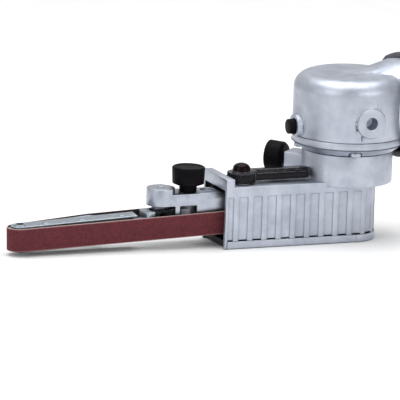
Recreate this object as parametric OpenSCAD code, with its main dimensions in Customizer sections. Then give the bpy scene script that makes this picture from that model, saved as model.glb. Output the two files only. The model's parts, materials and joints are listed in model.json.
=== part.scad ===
// Narrow belt sanding head clamped on a right-angle gear head.
// Millimetres. The spindle axis is Z, the belt arm points along -X, and the
// origin is where the spindle axis meets the flat underside.

/* [Belt] */
// Length of the abrasive loop round its middle
belt_len = 457; // [380:1:560]
// Width of the belt
belt_w = 13; // [10:0.5:16]
// Thickness of the belt
belt_t = 0.9; // [0.6:0.1:1.1]
// Space between the belt and what it runs round
belt_gap = 0.35; // [0.3:0.05:0.45]
// Angle by which the belt drops toward the tip, in degrees
belt_pitch = 2.3; // [0:0.1:2.5]

/* [Wheels] */
// Radius of the drive wheel over its tyre
drive_r = 12; // [10:0.25:15]
// Thickness of the rubber tyre
tyre_t = 2.5; // [1.5:0.25:3]
// Radius of the idler wheel
idler_r = 6.3; // [5.2:0.1:7.6]
// Radius of the idler's fixed pin
idler_pin_r = 2; // [1.5:0.1:2.2]
// Wall of the idler's bronze bushing
bush_t = 1; // [0.7:0.1:1.2]

/* [Housing] */
// Distance from the spindle axis to the front face
body_l = 80; // [72:1:96]
// Side wall of the casting
wall_t = 2.4; // [2.2:0.1:3.4]
// Top plate of the casting
top_t = 2.2; // [2:0.1:3]
// Thickness of the bottom cover
cover_t = 4.2; // [3.6:0.1:5]
// Thickness of the front header along X
header_t = 5; // [4:0.1:5.6]
// Height of the front header above the top plate
header_h = 4.5; // [3:0.1:6]
// Distance between one side rib and the next
rib_pitch = 8.65; // [7:0.05:10]
// Width of a rib
rib_w = 3.45; // [2.5:0.05:4.5]
// Depth of the panels between the ribs
rib_d = 0.8; // [0.5:0.1:1]

/* [Collar] */
// Radius of the gear head's neck
neck_r = 21.5; // [20:0.1:24]
// Wall of the clamping collar
collar_t = 4; // [3.5:0.1:6]
// Height of the collar above the top plate
collar_h = 15.6; // [14:0.1:19]
// Direction of the clamp screw round the collar, in degrees
clamp_dir = 135; // [130:1:150]

/* [Knobs and lever] */
// Radius of the clamp knob
clamp_knob_r = 9.3; // [7:0.1:9.4]
// Length of the clamp knob
clamp_knob_l = 10.4; // [8:0.1:12]
// Radius of the tracking knob at its base
track_knob_r = 9.8; // [8:0.1:9.8]
// Height of the tracking knob's fluted body
track_knob_h = 9.5; // [8:0.1:14]
// Number of flutes round each knob
flutes = 26; // [18:1:30]
// Reach of the release lever from its pivot to its round end
lever_l = 36.3; // [30:0.1:36.4]
// Width of the release lever's bar
lever_w = 9; // [7:0.1:10]

/* [Slide and arm] */
// Half width of the tension slide
slide_hw = 8; // [7.5:0.1:8.2]
// Thickness of the tension slide's bar
slide_t = 6.7; // [6:0.1:8]
// Travel of the tension slide when the lever is released
slide_travel = 6; // [4:0.5:6]
// Distance from the housing's front to the slide's round nose
nose_x = 33; // [31:0.5:40]
// Distance from the housing's front to the tracking screw
track_x = 16.5; // [16:0.25:18]
// Half width of the arm's cover plate at its rear
plate_hw = 5.6; // [4.6:0.1:7.4]
// How far the platen's heel stands out from the arm's middle
heel_y = 10.9; // [9:0.1:10.9]
// Distance from the bridge of the arm to the platen's heel
heel_back = 20.2; // [17:0.1:34]

/* [Gear head] */
// Height of the motor axis above the top of the bearing flange
motor_h = 14.6; // [14:0.1:20]
// Outer radius of the bearing flange
flange_r = 31.5; // [31:0.1:34]
// Number of teeth on the crown gear
crown_teeth = 38; // [30:1:44]
// Number of teeth on the pinion
pinion_teeth = 12; // [10:1:14]
// Angle of the first flange screw, in degrees
screw_dir = -14.6; // [-20:0.1:-10]

/* [Hidden] */

$fn = 64;
// Running clearance of a shaft in its hole
run_c = 0.05;
// Clearance of pieces that stay still in each other
seat_c = 0.03;
// Overlap that makes a cut clean or joins two shapes of one casting
e = 0.01;

// Radii of the belt's outside on its two wheels
drive_out = drive_r + belt_gap + belt_t;
idler_out = idler_r + belt_gap + belt_t;
// Distance between the wheel axes that uses up the whole loop
mid_sum = drive_out + idler_out - belt_t;
mid_dif = drive_out - idler_out;
loop_rest = belt_len - PI * mid_sum;
span = (loop_rest + sqrt(loop_rest * loop_rest - 8 * mid_dif * mid_dif)) / 4;

// Height levels, built up from the underside
wheel_h = belt_w + 3;
under_wheel = 5.2;
drive_z = cover_t + under_wheel + wheel_h / 2;
slide_z = drive_z + belt_w / 2 + 0.2;
slide_top = slide_z + slide_t;
crank_t = 1.8;
crank_c = 0.2;
ceiling_z = slide_top + crank_c + crank_t + crank_c;
top_z = ceiling_z + top_t;
collar_r = neck_r + collar_t;
collar_top = top_z + collar_h;
flange_z = collar_top + 0.5;
flange_h = 8.1;
case_z = flange_z + flange_h;
motor_z = case_z + motor_h;
neck_z = top_z + 1.7;
floor_z = neck_z - 0.3;

// Plan of the housing
belt_room = 0.85;
in_hw = drive_out + belt_room;
body_hw = in_hw + wall_t;
front_x = -body_l;
cover_lip = 0.4;
cover_x = front_x + 1.5;

// Clamp boss and its screw
boss_hw = 6.8;
boss_z = collar_top - 14;
boss_h = 8.8;
boss_out = collar_r + 9.8;
stud_r = 3;
clamp_z = boss_z + boss_h / 2;
knob_in = boss_out + 1.7;
pad_in = neck_r + 0.12;
pad_t = 2;

// Release lever
hub_r = 8;
pivot_x = front_x + header_t + hub_r + 0.3;
pivot_y = -5.5;
pivot_r = 3;
crank_reach = 6;
crank_dir = 120;
crank_hub_r = 5.5;
crank_arm_w = 6.8;
crank_pin_r = 2.5;
lever_z = top_z + 0.7;
lever_top = lever_z + 6.4;

// Tension slide
nose_r = slide_hw;
nose_cx = front_x - nose_x;
nose_top = slide_top + 3.1;
slide_end = front_x + 24;
track_cx = front_x - track_x;
tongue_t = 1;
rail_c = 0.2;
rod_r = 2.5;
rod_z = slide_z + slide_t / 2;
stop_x = -30;
stop_t = 4;

// Arm, in the belt's own tilted plane
hinge_x = nose_cx;
hinge_z = 5.6;
hinge_r = 2;
tongue_hw = 2.9;
cheek_in = 3.1;
cheek_out = 5.4;
plate_t = 1;
plate_z = belt_w / 2 - 0.2;
plate_rear = nose_cx - 14;
plate_tip_r = idler_r - 1.1;
idler_h = 2 * (plate_z - 0.25);
bar_hw = 4;
bar_front = -span + idler_r + 3.2;
bar_end = plate_rear - 4;
cheek_h = 7.6;
tail_low = 1;
tail_top = 4;
heel_x = span + bar_end - heel_back;
rivet_x = [bar_front + 6, plate_rear - 33, plate_rear - 9];
rivet_r = 1.5;

// Tracking screw
track_r = 2.5;
barrel_r = 4.45;
barrel_z = slide_z - 5.1;
barrel_in = 2.9;

// Drive train
thread_r = 7;
journal_r = 6;
tail_r = 4;
spindle_low = neck_z - 17.9;
hub_h = neck_z - 2.1 - drive_z + wheel_h / 2;
bearing_z = neck_z + 4.1;
bearing_h = 10;
bearing_r = 16;
crown_r = 20;
pinion_r = crown_r * pinion_teeth / crown_teeth;
tooth_in = 0.6;
mesh_c = 0.15;
crown_z = motor_z - pinion_r - mesh_c;
crown_face_h = pinion_r * (1 - tooth_in);
top_bearing_z = motor_z + 7;
shaft_r = 4;
shaft_end = 54;
case_top = motor_z + 20;
room_r = 24;
small_bearing_r = 11;
ring_r = motor_h + 14.9;
barrel_case_r = ring_r - 3.4;
barrel_cone_h = 26;
ring_x = 28;
ring_end = 42;
screw_ring_r = 27;
case_screw_y = 17;
case_screw_z = 10.5;
case_hole_r = 2.15;

// Side handle's bosses and the spindle lock
handle_z = motor_z - 3;
handle_y = flange_r + 1.5;
handle_r = 8.5;
handle_hole_r = 3.4;
lock_z = crown_z - 2.8;
lock_r = 2;
lock_head_r = 4.2;
lock_travel = 3;
lock_face = flange_r + 2;
lock_step = room_r + 2;

// Places a shape in the belt's tilted plane, with its middle height at zero
module belt_plane() {
    translate([0, 0, drive_z])
        rotate([0, -belt_pitch, 0])
            children();
}

// Same place as belt_plane, as numbers
function plane_x(x, z) = x * cos(belt_pitch) - z * sin(belt_pitch);
function plane_z(x, z) = drive_z + x * sin(belt_pitch) + z * cos(belt_pitch);
pin_x = plane_x(hinge_x, hinge_z);
pin_z = plane_z(hinge_x, hinge_z);

// Turns a shape so that its Z axis points outward along the clamp screw
module clamp_axis(out) {
    rotate([0, 0, clamp_dir])
        translate([out, 0, clamp_z])
            rotate([0, 90, 0])
                children();
}

// Ring with a true bore
module ring(r_out, r_in, h) {
    difference() {
        cylinder(r = r_out, h = h);
        translate([0, 0, -e])
            cylinder(r = r_in, h = h + 2 * e);
    }
}

// Plan of a body with a straight front and a round end about the spindle
module plan(hw, x0) {
    translate([x0, -hw])
        square([-x0, 2 * hw]);
    circle(r = hw);
}

// Coil spring along +Z with ground ends, as one closed tube
module coil(r, wire, h, turns) {
    sides = 6;
    steps = turns * 14;
    ring_pts = [for (i = [0:steps], j = [0:sides - 1])
        let (t = i / steps, a = 360 * turns * t, b = 360 * j / sides, q = r + wire / 2 * cos(b))
            [q * cos(a), q * sin(a), wire / 2 + (h - wire) * t + wire / 2 * sin(b)]];
    walls = [for (i = [0:steps - 1], j = [0:sides - 1])
        [i * sides + j, (i + 1) * sides + j,
            (i + 1) * sides + (j + 1) % sides, i * sides + (j + 1) % sides]];
    first = [for (j = [0:sides - 1]) j];
    last = [for (j = [0:sides - 1]) steps * sides + sides - 1 - j];
    polyhedron(points = ring_pts, faces = concat(walls, [first], [last]), convexity = 10);
}

// Turned knob with flutes down its grip: a neck, the grip and a rounded top edge
module knob(neck_r, neck_h, grip_r, grip_h) {
    edge = 1.1;
    shoulder = 1.6;
    top = neck_h + grip_h;
    arc = [for (a = [0:15:90]) [grip_r - 0.5 - edge + edge * cos(a), top - edge + edge * sin(a)]];
    flute_r = 0.75;
    difference() {
        rotate_extrude()
            polygon(concat([[0, 0], [neck_r, 0], [neck_r, neck_h - shoulder],
                [grip_r - 0.9, neck_h]], arc,
                [[grip_r - 2.4, top], [grip_r - 2.7, top - 0.4], [0, top - 0.4]]));
        for (i = [0:flutes - 1])
            rotate([0, 0, i * 360 / flutes])
                translate([grip_r + 0.1, 0, -e])
                    cylinder(r = flute_r, h = top - 0.6 * edge, $fn = 16);
    }
}

// Outline of a straight-toothed gear
module gear_outline(teeth, r_tip, r_root) {
    step = 360 / teeth;
    polygon([for (i = [0:teeth - 1], k = [0:3])
        let (a = step * (i + [0.06, 0.28, 0.40, 0.94][k]), q = (k == 0 || k == 3) ? r_root : r_tip)
            [q * cos(a), q * sin(a)]]);
}

// Countersunk screw standing on its head
module flat_screw(r, head_r, head_h, len) {
    cylinder(r1 = head_r, r2 = r, h = head_h);
    cylinder(r = r, h = len);
}

// ---- Housing and cover ----

panel_w = rib_pitch - rib_w;
round_panels = round(PI * body_hw / rib_pitch);
cover_screw_pos = [[front_x + 9, 1], [front_x + 9, -1], [2, 1], [2, -1]];
cover_boss_y = in_hw - 3.7;
cover_boss_top = cover_t + 3;
rail_x0 = front_x + 2.5;
rail_x1 = front_x + 38;
rail_z = slide_z + 0.5;
rail_in = slide_hw + rail_c;
rail_out = in_hw - 0.1;
rail_screw_y = (rail_in + tongue_t + rail_out) / 2 + 0.1;
rail_screw_pos = [for (x = [rail_x0 + 3, rail_x1 - 5], s = [1, -1]) [x, s * rail_screw_y]];

// Recessed panel between two ribs, cut inward from a wall at Y = 0, with a
// narrow gap over the cover
module side_panel(x0, x1) {
    panel_z = cover_t - 1;
    gap_h = 0.6;
    gap_d = 1.8;
    translate([x0, -rib_d, panel_z])
        cube([x1 - x0, 2 * rib_d, ceiling_z - 3.7 - panel_z]);
    translate([x0, -gap_d, cover_t - 1])
        cube([x1 - x0, 2 * gap_d, 1 + gap_h]);
}

module housing() {
    color("#bcc2cc") difference() {
        union() {
            translate([0, 0, cover_t])
                linear_extrude(top_z - cover_t)
                    plan(body_hw, front_x);
            // front header and its two posts
            translate([front_x, -body_hw, cover_t])
                cube([header_t, 2 * body_hw, top_z + header_h - cover_t]);
            for (s = [-1, 1])
                translate([front_x, s > 0 ? body_hw - wall_t : -body_hw, 0])
                    cube([1.3, wall_t, cover_t + 1]);
            // clamping collar with its boss
            translate([0, 0, ceiling_z])
                cylinder(r = collar_r, h = collar_top - ceiling_z);
            rotate([0, 0, clamp_dir])
                translate([neck_r, -boss_hw, boss_z])
                    cube([boss_out - neck_r, 2 * boss_hw, boss_h]);
        }
        // belt room, open at the front and below
        difference() {
            translate([0, 0, -e])
                linear_extrude(ceiling_z + e)
                    plan(in_hw, front_x - 1);
            // stop for the tension spring, hanging from the top plate
            difference() {
                translate([stop_x, -slide_hw, slide_z])
                    cube([stop_t, 2 * slide_hw, top_z - slide_z]);
                translate([stop_x - 1, 0, rod_z])
                    rotate([0, 90, 0])
                        cylinder(r = rod_r + 0.3, h = stop_t + 2);
            }
            // bosses for the cover screws
            for (p = cover_screw_pos)
                translate([p[0], p[1] * cover_boss_y, cover_t])
                    ring(3.8, 1.5 + seat_c, cover_boss_top - cover_t);
        }
        // panels between the ribs of both sides and round the rear
        for (x = [-rib_pitch:-rib_pitch:front_x], s = [0, 1])
            mirror([0, s, 0])
                translate([0, -body_hw, 0])
                    mirror([0, 1, 0])
                        side_panel(max(x - panel_w / 2, front_x + 1.6), x + panel_w / 2);
        for (i = [0:round_panels])
            rotate([0, 0, i * 180 / round_panels])
                translate([0, -body_hw, 0])
                    mirror([0, 1, 0])
                        side_panel(-panel_w / 2, panel_w / 2);
        // neck bore, spindle opening and screw holes
        translate([0, 0, floor_z])
            cylinder(r = neck_r + run_c, h = collar_top - floor_z + 1);
        translate([0, 0, ceiling_z - 1])
            cylinder(r = thread_r + 6, h = floor_z - ceiling_z + 2);
        clamp_axis(neck_r - 2)
            cylinder(r = stud_r + run_c, h = boss_out - neck_r + 4);
        translate([pivot_x, pivot_y, ceiling_z - 1])
            cylinder(r = pivot_r + run_c, h = top_t + 2);
        for (p = rail_screw_pos)
            translate([p[0], p[1], ceiling_z - e])
                cylinder(r = 1.25 + seat_c, h = top_t - 0.8, $fn = 32);
    }
}

module base_cover() {
    screw_head_r = 3;
    color("#aab0ba") difference() {
        linear_extrude(cover_t)
            plan_cover();
        // relief inside the rim
        translate([0, 0, 2])
            linear_extrude(cover_t)
                plan(in_hw - 0.6, cover_x + 4);
        for (p = cover_screw_pos)
            translate([p[0], p[1] * cover_boss_y, -e])
                cylinder(r = 1.7, h = cover_t + 1);
        for (p = cover_screw_pos)
            translate([p[0], p[1] * cover_boss_y, -e])
                cylinder(r1 = screw_head_r + 0.1, r2 = 1.6, h = 1.7);
    }
    color("#aab0ba") for (p = cover_screw_pos)
        translate([p[0], p[1] * cover_boss_y, 1.6])
            ring(3.6, 1.7, cover_t - 1.6);
}

// Plan of the cover, a little proud of the round end
module plan_cover() {
    translate([cover_x, -body_hw])
        square([-cover_x, 2 * body_hw]);
    difference() {
        circle(r = body_hw + cover_lip);
        translate([-2 * body_hw - 2, -2 * body_hw])
            square([2 * body_hw + 2, 4 * body_hw]);
    }
}

module cover_screws() {
    color("#3a3a3e") for (p = cover_screw_pos)
        translate([p[0], p[1] * cover_boss_y, 0.1])
            difference() {
                flat_screw(1.5, 2.9, 1.5, cover_boss_top - 0.3);
                translate([0, 0, -e])
                    cylinder(r = 1, h = 0.9, $fn = 6);
            }
}

// ---- Clamp ----

module clamp_knob() {
    color("#1c1a20") clamp_axis(knob_in)
        difference() {
            knob(clamp_knob_r - 2.2, 1.6, clamp_knob_r, clamp_knob_l - 1.6);
            translate([0, 0, -1])
                cylinder(r = stud_r + seat_c, h = clamp_knob_l - 2);
        }
}

module clamp_stud() {
    color("#8a8c90") clamp_axis(pad_in + pad_t + 0.1)
        cylinder(r = stud_r, h = knob_in + clamp_knob_l - 3.2 - pad_in - pad_t - 0.1);
}

module clamp_pad() {
    color("#b8923e") clamp_axis(pad_in)
        cylinder(r = stud_r - 0.05, h = pad_t);
}

// ---- Guides inside the housing ----

module guide_rails() {
    color("#8e8478") difference() {
        for (s = [-1, 1])
            translate([rail_x0, s > 0 ? rail_in : -rail_out, rail_z])
                cube([rail_x1 - rail_x0, rail_out - rail_in, ceiling_z - 0.05 - rail_z]);
        // groove for the tongues of the slide
        for (s = [-1, 1])
            translate([rail_x0 - 1, s > 0 ? rail_in - 1 : -rail_in - tongue_t - rail_c, slide_z + 2.2])
                cube([rail_x1 - rail_x0 + 2, tongue_t + rail_c + 1, 2.7 + 2 * rail_c]);
        // pocket round the lever's crank
        translate([pivot_x, pivot_y, slide_top - 0.2])
            cylinder(r = crank_hub_r + 0.6, h = 5);
        for (p = rail_screw_pos)
            translate([p[0], p[1], rail_z - 1])
                cylinder(r = 1.25 + 0.1, h = ceiling_z, $fn = 32);
        for (p = rail_screw_pos)
            translate([p[0], p[1], rail_z - e])
                cylinder(r1 = 1.9, r2 = 1.3, h = 1, $fn = 32);
    }
}

module rail_screws() {
    color("#5a5c60") for (p = rail_screw_pos)
        translate([p[0], p[1], rail_z + 0.1])
            flat_screw(1.25, 1.8, 0.9, ceiling_z + top_t - 1 - rail_z - 0.3);
}

// ---- Release lever ----

module release_lever() {
    color("#17171c") translate([pivot_x, pivot_y, lever_z])
        difference() {
            union() {
                // hub with a fine serrated rim
                difference() {
                    cylinder(r = hub_r, h = 5.6);
                    for (i = [0:35])
                        rotate([0, 0, i * 10])
                            translate([hub_r + 0.2, 0, -e])
                                cylinder(r = 0.5, h = 6, $fn = 12);
                }
                translate([0, 0, 1])
                    linear_extrude(5.4)
                        lever_plan(lever_w / 2);
                cylinder(r = 5.6, h = 6.4);
            }
            // long step down the near half of the bar
            translate([8, -lever_w, 5.2])
                cube([lever_l - 4, lever_w - 1.2, 3]);
            translate([0, 0, -e])
                cylinder(r = pivot_r + seat_c, h = 8);
        }
}

// Bar from the hub to its round end
module lever_plan(hw) {
    translate([0, -hw])
        square([lever_l, 2 * hw]);
    translate([lever_l, 0])
        circle(r = hw);
}

module lever_washer() {
    color("#77797d") translate([pivot_x, pivot_y, top_z + 0.05])
        ring(6.5, pivot_r + seat_c, 0.6);
}

module lever_pivot() {
    color("#8a8c90") translate([pivot_x, pivot_y, slide_top + crank_c + 0.2])
        cylinder(r = pivot_r, h = lever_top + 2.6 - slide_top);
}

module lever_crank() {
    color("#8a8c90") {
        difference() {
            translate([pivot_x, pivot_y, slide_top + crank_c])
                linear_extrude(crank_t - 0.1) {
                    circle(r = crank_hub_r);
                    rotate(crank_dir)
                        translate([0, -crank_arm_w / 2])
                            square([crank_reach, crank_arm_w]);
                    rotate(crank_dir)
                        translate([crank_reach, 0])
                            circle(r = crank_arm_w / 2);
                }
            translate([pivot_x, pivot_y, slide_top])
                cylinder(r = pivot_r + seat_c, h = 4);
        }
        translate([pivot_x + crank_reach * cos(crank_dir), pivot_y + crank_reach * sin(crank_dir),
            slide_top - 3])
            cylinder(r = crank_pin_r, h = 3 + crank_c + e);
    }
}

module lever_dome_nut() {
    nut_r = 5.2;
    dome_r = 4.9;
    color("#2a2226") translate([pivot_x, pivot_y, lever_top])
        difference() {
            union() {
                intersection() {
                    cylinder(r = nut_r, h = 2.2, $fn = 6);
                    cylinder(r1 = nut_r + 1, r2 = dome_r - 0.3, h = 2.2);
                }
                translate([0, 0, 1.2])
                    intersection() {
                        sphere(r = dome_r - 0.4);
                        cylinder(r = dome_r, h = dome_r);
                    }
            }
            translate([0, 0, -e])
                cylinder(r = pivot_r + seat_c, h = 3.2);
        }
}

// ---- Tension slide ----

// Wall beside the arm, with the window in front of the tracking barrel
module slide_cheek() {
    cheek_t = 1.9;
    cheek_z = slide_z - 12;
    translate([nose_cx + 6, slide_hw - cheek_t, cheek_z])
        cube([2.9, cheek_t, slide_z - cheek_z + e]);
    translate([track_cx + 2.5, slide_hw - cheek_t, cheek_z])
        cube([24, cheek_t, slide_z - cheek_z + e]);
}

module tension_slide() {
    color("#c6cad2") difference() {
        union() {
            // round nose
            translate([nose_cx, 0, slide_z])
                cylinder(r = nose_r, h = nose_top - slide_z);
            translate([nose_cx, -slide_hw, slide_z])
                cube([4, 2 * slide_hw, nose_top - slide_z]);
            // bar back into the housing
            translate([nose_cx, -slide_hw, slide_z])
                cube([slide_end - nose_cx, 2 * slide_hw, slide_t]);
            // tongues in the guide rails
            translate([rail_x0 + 3, -slide_hw - tongue_t, slide_z + 2.4])
                cube([slide_end - rail_x0 - 3, 2 * (slide_hw + tongue_t), 2.7]);
            slide_cheek();
            mirror([0, 1, 0])
                slide_cheek();
            // core between the cheeks
            translate([track_cx + 6, -slide_hw + 1, slide_z - 12])
                cube([20.5, 2 * slide_hw - 2, 12 + e]);
            // tongue that the arm hangs on
            translate([pin_x - 4, -tongue_hw, pin_z - 4])
                cube([8, 2 * tongue_hw, slide_z - pin_z + 4 + e]);
        }
        translate([pin_x, -slide_hw, pin_z])
            rotate([-90, 0, 0])
                cylinder(r = hinge_r + run_c, h = 2 * slide_hw);
        // small hole in the nose
        translate([nose_cx, 0, nose_top - 5])
            cylinder(r = 1.7, h = 6);
        // room round the arm's tail
        translate([track_cx, 0, slide_z - 14])
            cylinder(r = cheek_out + 0.45, h = 14);
        // seat of the barrel, then the hole for the screw
        translate([track_cx, 0, slide_z - 1])
            cylinder(r = barrel_r + seat_c, h = 1 + barrel_in);
        translate([track_cx, 0, slide_z])
            cylinder(r = track_r + run_c, h = slide_t + 1);
        // cross slot for the crank pin
        crank_slot();
        translate([slide_end - 12, 0, rod_z])
            rotate([0, 90, 0])
                cylinder(r = rod_r + seat_c, h = 13);
        // round pocket beside the knob
        translate([track_cx + 12.6, 1.5, slide_top - 1.2])
            cylinder(r = 4.2, h = 2);
    }
}

// Slot across the slide in which the crank pin moves
module crank_slot() {
    slot_x = pivot_x + crank_reach * cos(crank_dir);
    slot_y = pivot_y + crank_reach * sin(crank_dir);
    slot_w = 2 * crank_pin_r + 0.6;
    translate([slot_x - slot_w / 2, slot_y - crank_pin_r - 0.4, slide_top - 3.4])
        cube([slot_w, 2 * crank_pin_r + 2, 5]);
}

module slide_rod() {
    color("#8a8c90") translate([slide_end - 11, 0, rod_z])
        rotate([0, 90, 0])
            cylinder(r = rod_r, h = stop_x + stop_t + 4.5 - slide_end + 11);
}

module rod_nut() {
    color("#77797d") translate([stop_x + stop_t + 0.3, 0, rod_z])
        rotate([0, 90, 0])
            difference() {
                cylinder(r = 4.4, h = 2.8, $fn = 6);
                translate([0, 0, -1])
                    cylinder(r = rod_r + seat_c, h = 5);
            }
}

module tension_spring() {
    color("#9a9ca0") translate([slide_end + 0.1, 0, rod_z])
        rotate([0, 90, 0])
            coil(rod_r + 1.05, 1.1, stop_x - slide_end - 0.2, 9);
}

// ---- Tracking screw ----

module tracking_knob() {
    neck_h = 4.7;
    color("#221e26") translate([track_cx, 0, slide_top + 0.1])
        difference() {
            knob(4.9, neck_h, track_knob_r, track_knob_h);
            translate([0, 0, -1])
                cylinder(r = track_r + seat_c, h = neck_h + 5);
        }
}

module tracking_stud() {
    stud_low = plane_z(track_cx, 0) - 3.4;
    color("#8a8c90") translate([track_cx, 0, stud_low])
        cylinder(r = track_r, h = slide_top + 8.6 - stud_low);
}

module tracking_barrel() {
    color("#5c5e66") translate([track_cx, 0, barrel_z])
        difference() {
            cylinder(r = barrel_r, h = slide_z + barrel_in - barrel_z - 0.05);
            translate([0, 0, -1])
                cylinder(r = 3.6, h = 1 + slide_z - barrel_z);
            translate([0, 0, -1])
                cylinder(r = track_r + run_c, h = 12);
        }
}

module tracking_spring() {
    spring_low = plane_z(track_cx, tail_top) + 0.25;
    color("#9a9ca0") translate([track_cx, 0, spring_low])
        coil(track_r + 0.55, 0.6, slide_z - 0.1 - spring_low, 5);
}

module tracking_nut() {
    color("#77797d") belt_plane()
        translate([track_cx / cos(belt_pitch), 0, tail_low - 2.9])
            difference() {
                cylinder(r = 4.2, h = 2.8, $fn = 6);
                translate([0, 0, -1])
                    cylinder(r = track_r + 0.25, h = 5);
            }
}

// ---- Arm ----

module arm_bar() {
    bar_z = plate_z - 0.05;
    tail_x = track_cx / cos(belt_pitch);
    color("#33343a") belt_plane() difference() {
        union() {
            translate([bar_front, -bar_hw, -bar_z])
                cube([bar_end - bar_front, 2 * bar_hw, 2 * bar_z]);
            // bridge down to the hinge
            translate([bar_end - e, -bar_hw, -4])
                cube([14, 2 * bar_hw, 8]);
            translate([bar_end + 8, -cheek_out, 0])
                cube([4, 2 * cheek_out, tail_low + cheek_h]);
            // two cheeks either side of the slide's tongue
            for (s = [-1, 1])
                translate([bar_end + 11, s > 0 ? cheek_in : -cheek_out, tail_low])
                    cube([tail_x - bar_end - 11, cheek_out - cheek_in, cheek_h]);
            translate([tail_x - 4, -cheek_out, tail_low])
                cube([4, 2 * cheek_out, tail_top - tail_low]);
            translate([tail_x, 0, tail_low])
                cylinder(r = cheek_out, h = tail_top - tail_low);
        }
        translate([hinge_x, -cheek_out - 1, hinge_z])
            rotate([-90, 0, 0])
                cylinder(r = hinge_r + seat_c, h = 2 * cheek_out + 2);
        translate([hinge_x - 5, -cheek_in, -5])
            cube([tail_x - 4 - hinge_x + 5, 2 * cheek_in, 14]);
        translate([tail_x, 0, -2])
            cylinder(r = track_r + 0.9, h = 12);
        // clear of the barrel
        translate([tail_x, 0, tail_top])
            cylinder(r = barrel_r + 0.6, h = 8);
        for (x = rivet_x)
            translate([x, 0, -bar_z - 1])
                cylinder(r = rivet_r + seat_c, h = 2 * bar_z + 2, $fn = 32);
    }
}

module arm_rivets() {
    reach = plate_z + plate_t;
    color("#b9b9be") belt_plane()
        for (x = rivet_x)
            translate([x, 0, 0]) {
                translate([0, 0, -reach])
                    cylinder(r = rivet_r, h = 2 * reach, $fn = 32);
                translate([0, 0, reach])
                    cylinder(r1 = 2.2, r2 = 1.5, h = 0.6, $fn = 32);
                translate([0, 0, -reach - 0.6])
                    cylinder(r1 = 1.5, r2 = 2.2, h = 0.6, $fn = 32);
            }
}

module arm_hinge_pin() {
    color("#8a8c90") belt_plane()
        translate([hinge_x, -cheek_out + 0.1, hinge_z])
            rotate([-90, 0, 0])
                cylinder(r = hinge_r, h = 2 * cheek_out - 0.2);
}

// Plan of the plates over and under the arm
module arm_plan() {
    translate([-span, 0])
        circle(r = plate_tip_r);
    polygon([[-span, -plate_tip_r], [plate_rear - 1.5, -plate_hw], [plate_rear, plate_hw],
        [-span, plate_tip_r]]);
}

module arm_plate(z) {
    translate([0, 0, z])
        difference() {
            linear_extrude(plate_t)
                arm_plan();
            for (x = rivet_x)
                translate([x, 0, -1])
                    cylinder(r = rivet_r + seat_c, h = 4, $fn = 32);
            translate([-span, 0, -1])
                cylinder(r = idler_pin_r + seat_c, h = 4);
        }
}

module arm_top_plate() {
    color("#b4bac0") belt_plane()
        arm_plate(plate_z);
}

module arm_bottom_plate() {
    color("#4a4c52") belt_plane()
        arm_plate(-plate_z - plate_t);
}

// Rounded heel of the platen, and the direction square to the line that
// touches both the idler and the heel
heel_r = 2;
heel_c = [-span + heel_x, heel_y];
heel_n = atan2(heel_y, heel_x) + 90 - asin((idler_r - heel_r) / norm([heel_x, heel_y]));

// Point at a distance r from the heel's centre, in direction a
function heel_point(r, a) = heel_c + r * [cos(a), sin(a)];

// One bent sheet: a face along the belt, the heel, a leg and a foot on the bar
module platen() {
    sheet = 1.5;
    lead_in = 9;
    leg_n = 50;
    foot_l = 8;
    foot_y = bar_hw + 0.05;
    along = [cos(heel_n - 90), sin(heel_n - 90)];
    across = [cos(heel_n), sin(heel_n)];
    start = [-span, 0] + across * idler_r + along * lead_in;
    bend = [for (a = [heel_n:-(heel_n - leg_n) / 6:leg_n - 0.1]) a];
    out_x = heel_point(heel_r, leg_n)[0] + (heel_point(heel_r, leg_n)[1] - foot_y - sheet) * tan(leg_n);
    in_x = heel_point(heel_r - sheet, leg_n)[0]
        + (heel_point(heel_r - sheet, leg_n)[1] - foot_y) * tan(leg_n);
    outline = concat([start], [for (a = bend) heel_point(heel_r, a)],
        [[out_x, foot_y + sheet], [out_x + foot_l, foot_y + sheet], [out_x + foot_l, foot_y],
        [in_x, foot_y]],
        [for (i = [len(bend) - 1:-1:0]) heel_point(heel_r - sheet, bend[i])],
        [start - across * sheet]);
    color("#8f9298") belt_plane()
        translate([0, 0, -plate_z + 0.3])
            linear_extrude(2 * plate_z - 0.6)
                polygon(outline);
}

module idler_wheel() {
    color("#6d7076") belt_plane()
        translate([-span, 0, -idler_h / 2])
            difference() {
                cylinder(r = idler_r, h = idler_h);
                translate([0, 0, -1])
                    cylinder(r = idler_pin_r + run_c + bush_t + seat_c, h = idler_h + 2);
            }
}

module idler_bushing() {
    color("#a8803c") belt_plane()
        translate([-span, 0, -idler_h / 2])
            ring(idler_pin_r + run_c + bush_t, idler_pin_r + run_c, idler_h);
}

module idler_pin() {
    reach = plate_z + plate_t;
    color("#c4c5c9") belt_plane()
        translate([-span, 0, 0]) {
            translate([0, 0, -reach])
                cylinder(r = idler_pin_r, h = 2 * reach);
            translate([0, 0, reach])
                cylinder(r1 = 2.5, r2 = 1.9, h = 0.7);
            translate([0, 0, -reach - 0.7])
                cylinder(r1 = 1.9, r2 = 2.5, h = 0.7);
        }
}

// ---- Belt ----

// Outline round both wheels and the heel, at a distance from their surfaces
module loop_outline(off) {
    hull() {
        circle(r = drive_r + off, $fn = 128);
        translate([-span, 0])
            circle(r = idler_r + off, $fn = 96);
        translate(heel_c)
            circle(r = heel_r + off, $fn = 64);
    }
}

module sanding_belt() {
    color("#7a3840") belt_plane()
        translate([0, 0, -belt_w / 2])
            linear_extrude(belt_w)
                difference() {
                    loop_outline(belt_gap + belt_t);
                    loop_outline(belt_gap);
                }
}

// ---- Drive wheel and spindle ----

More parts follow.
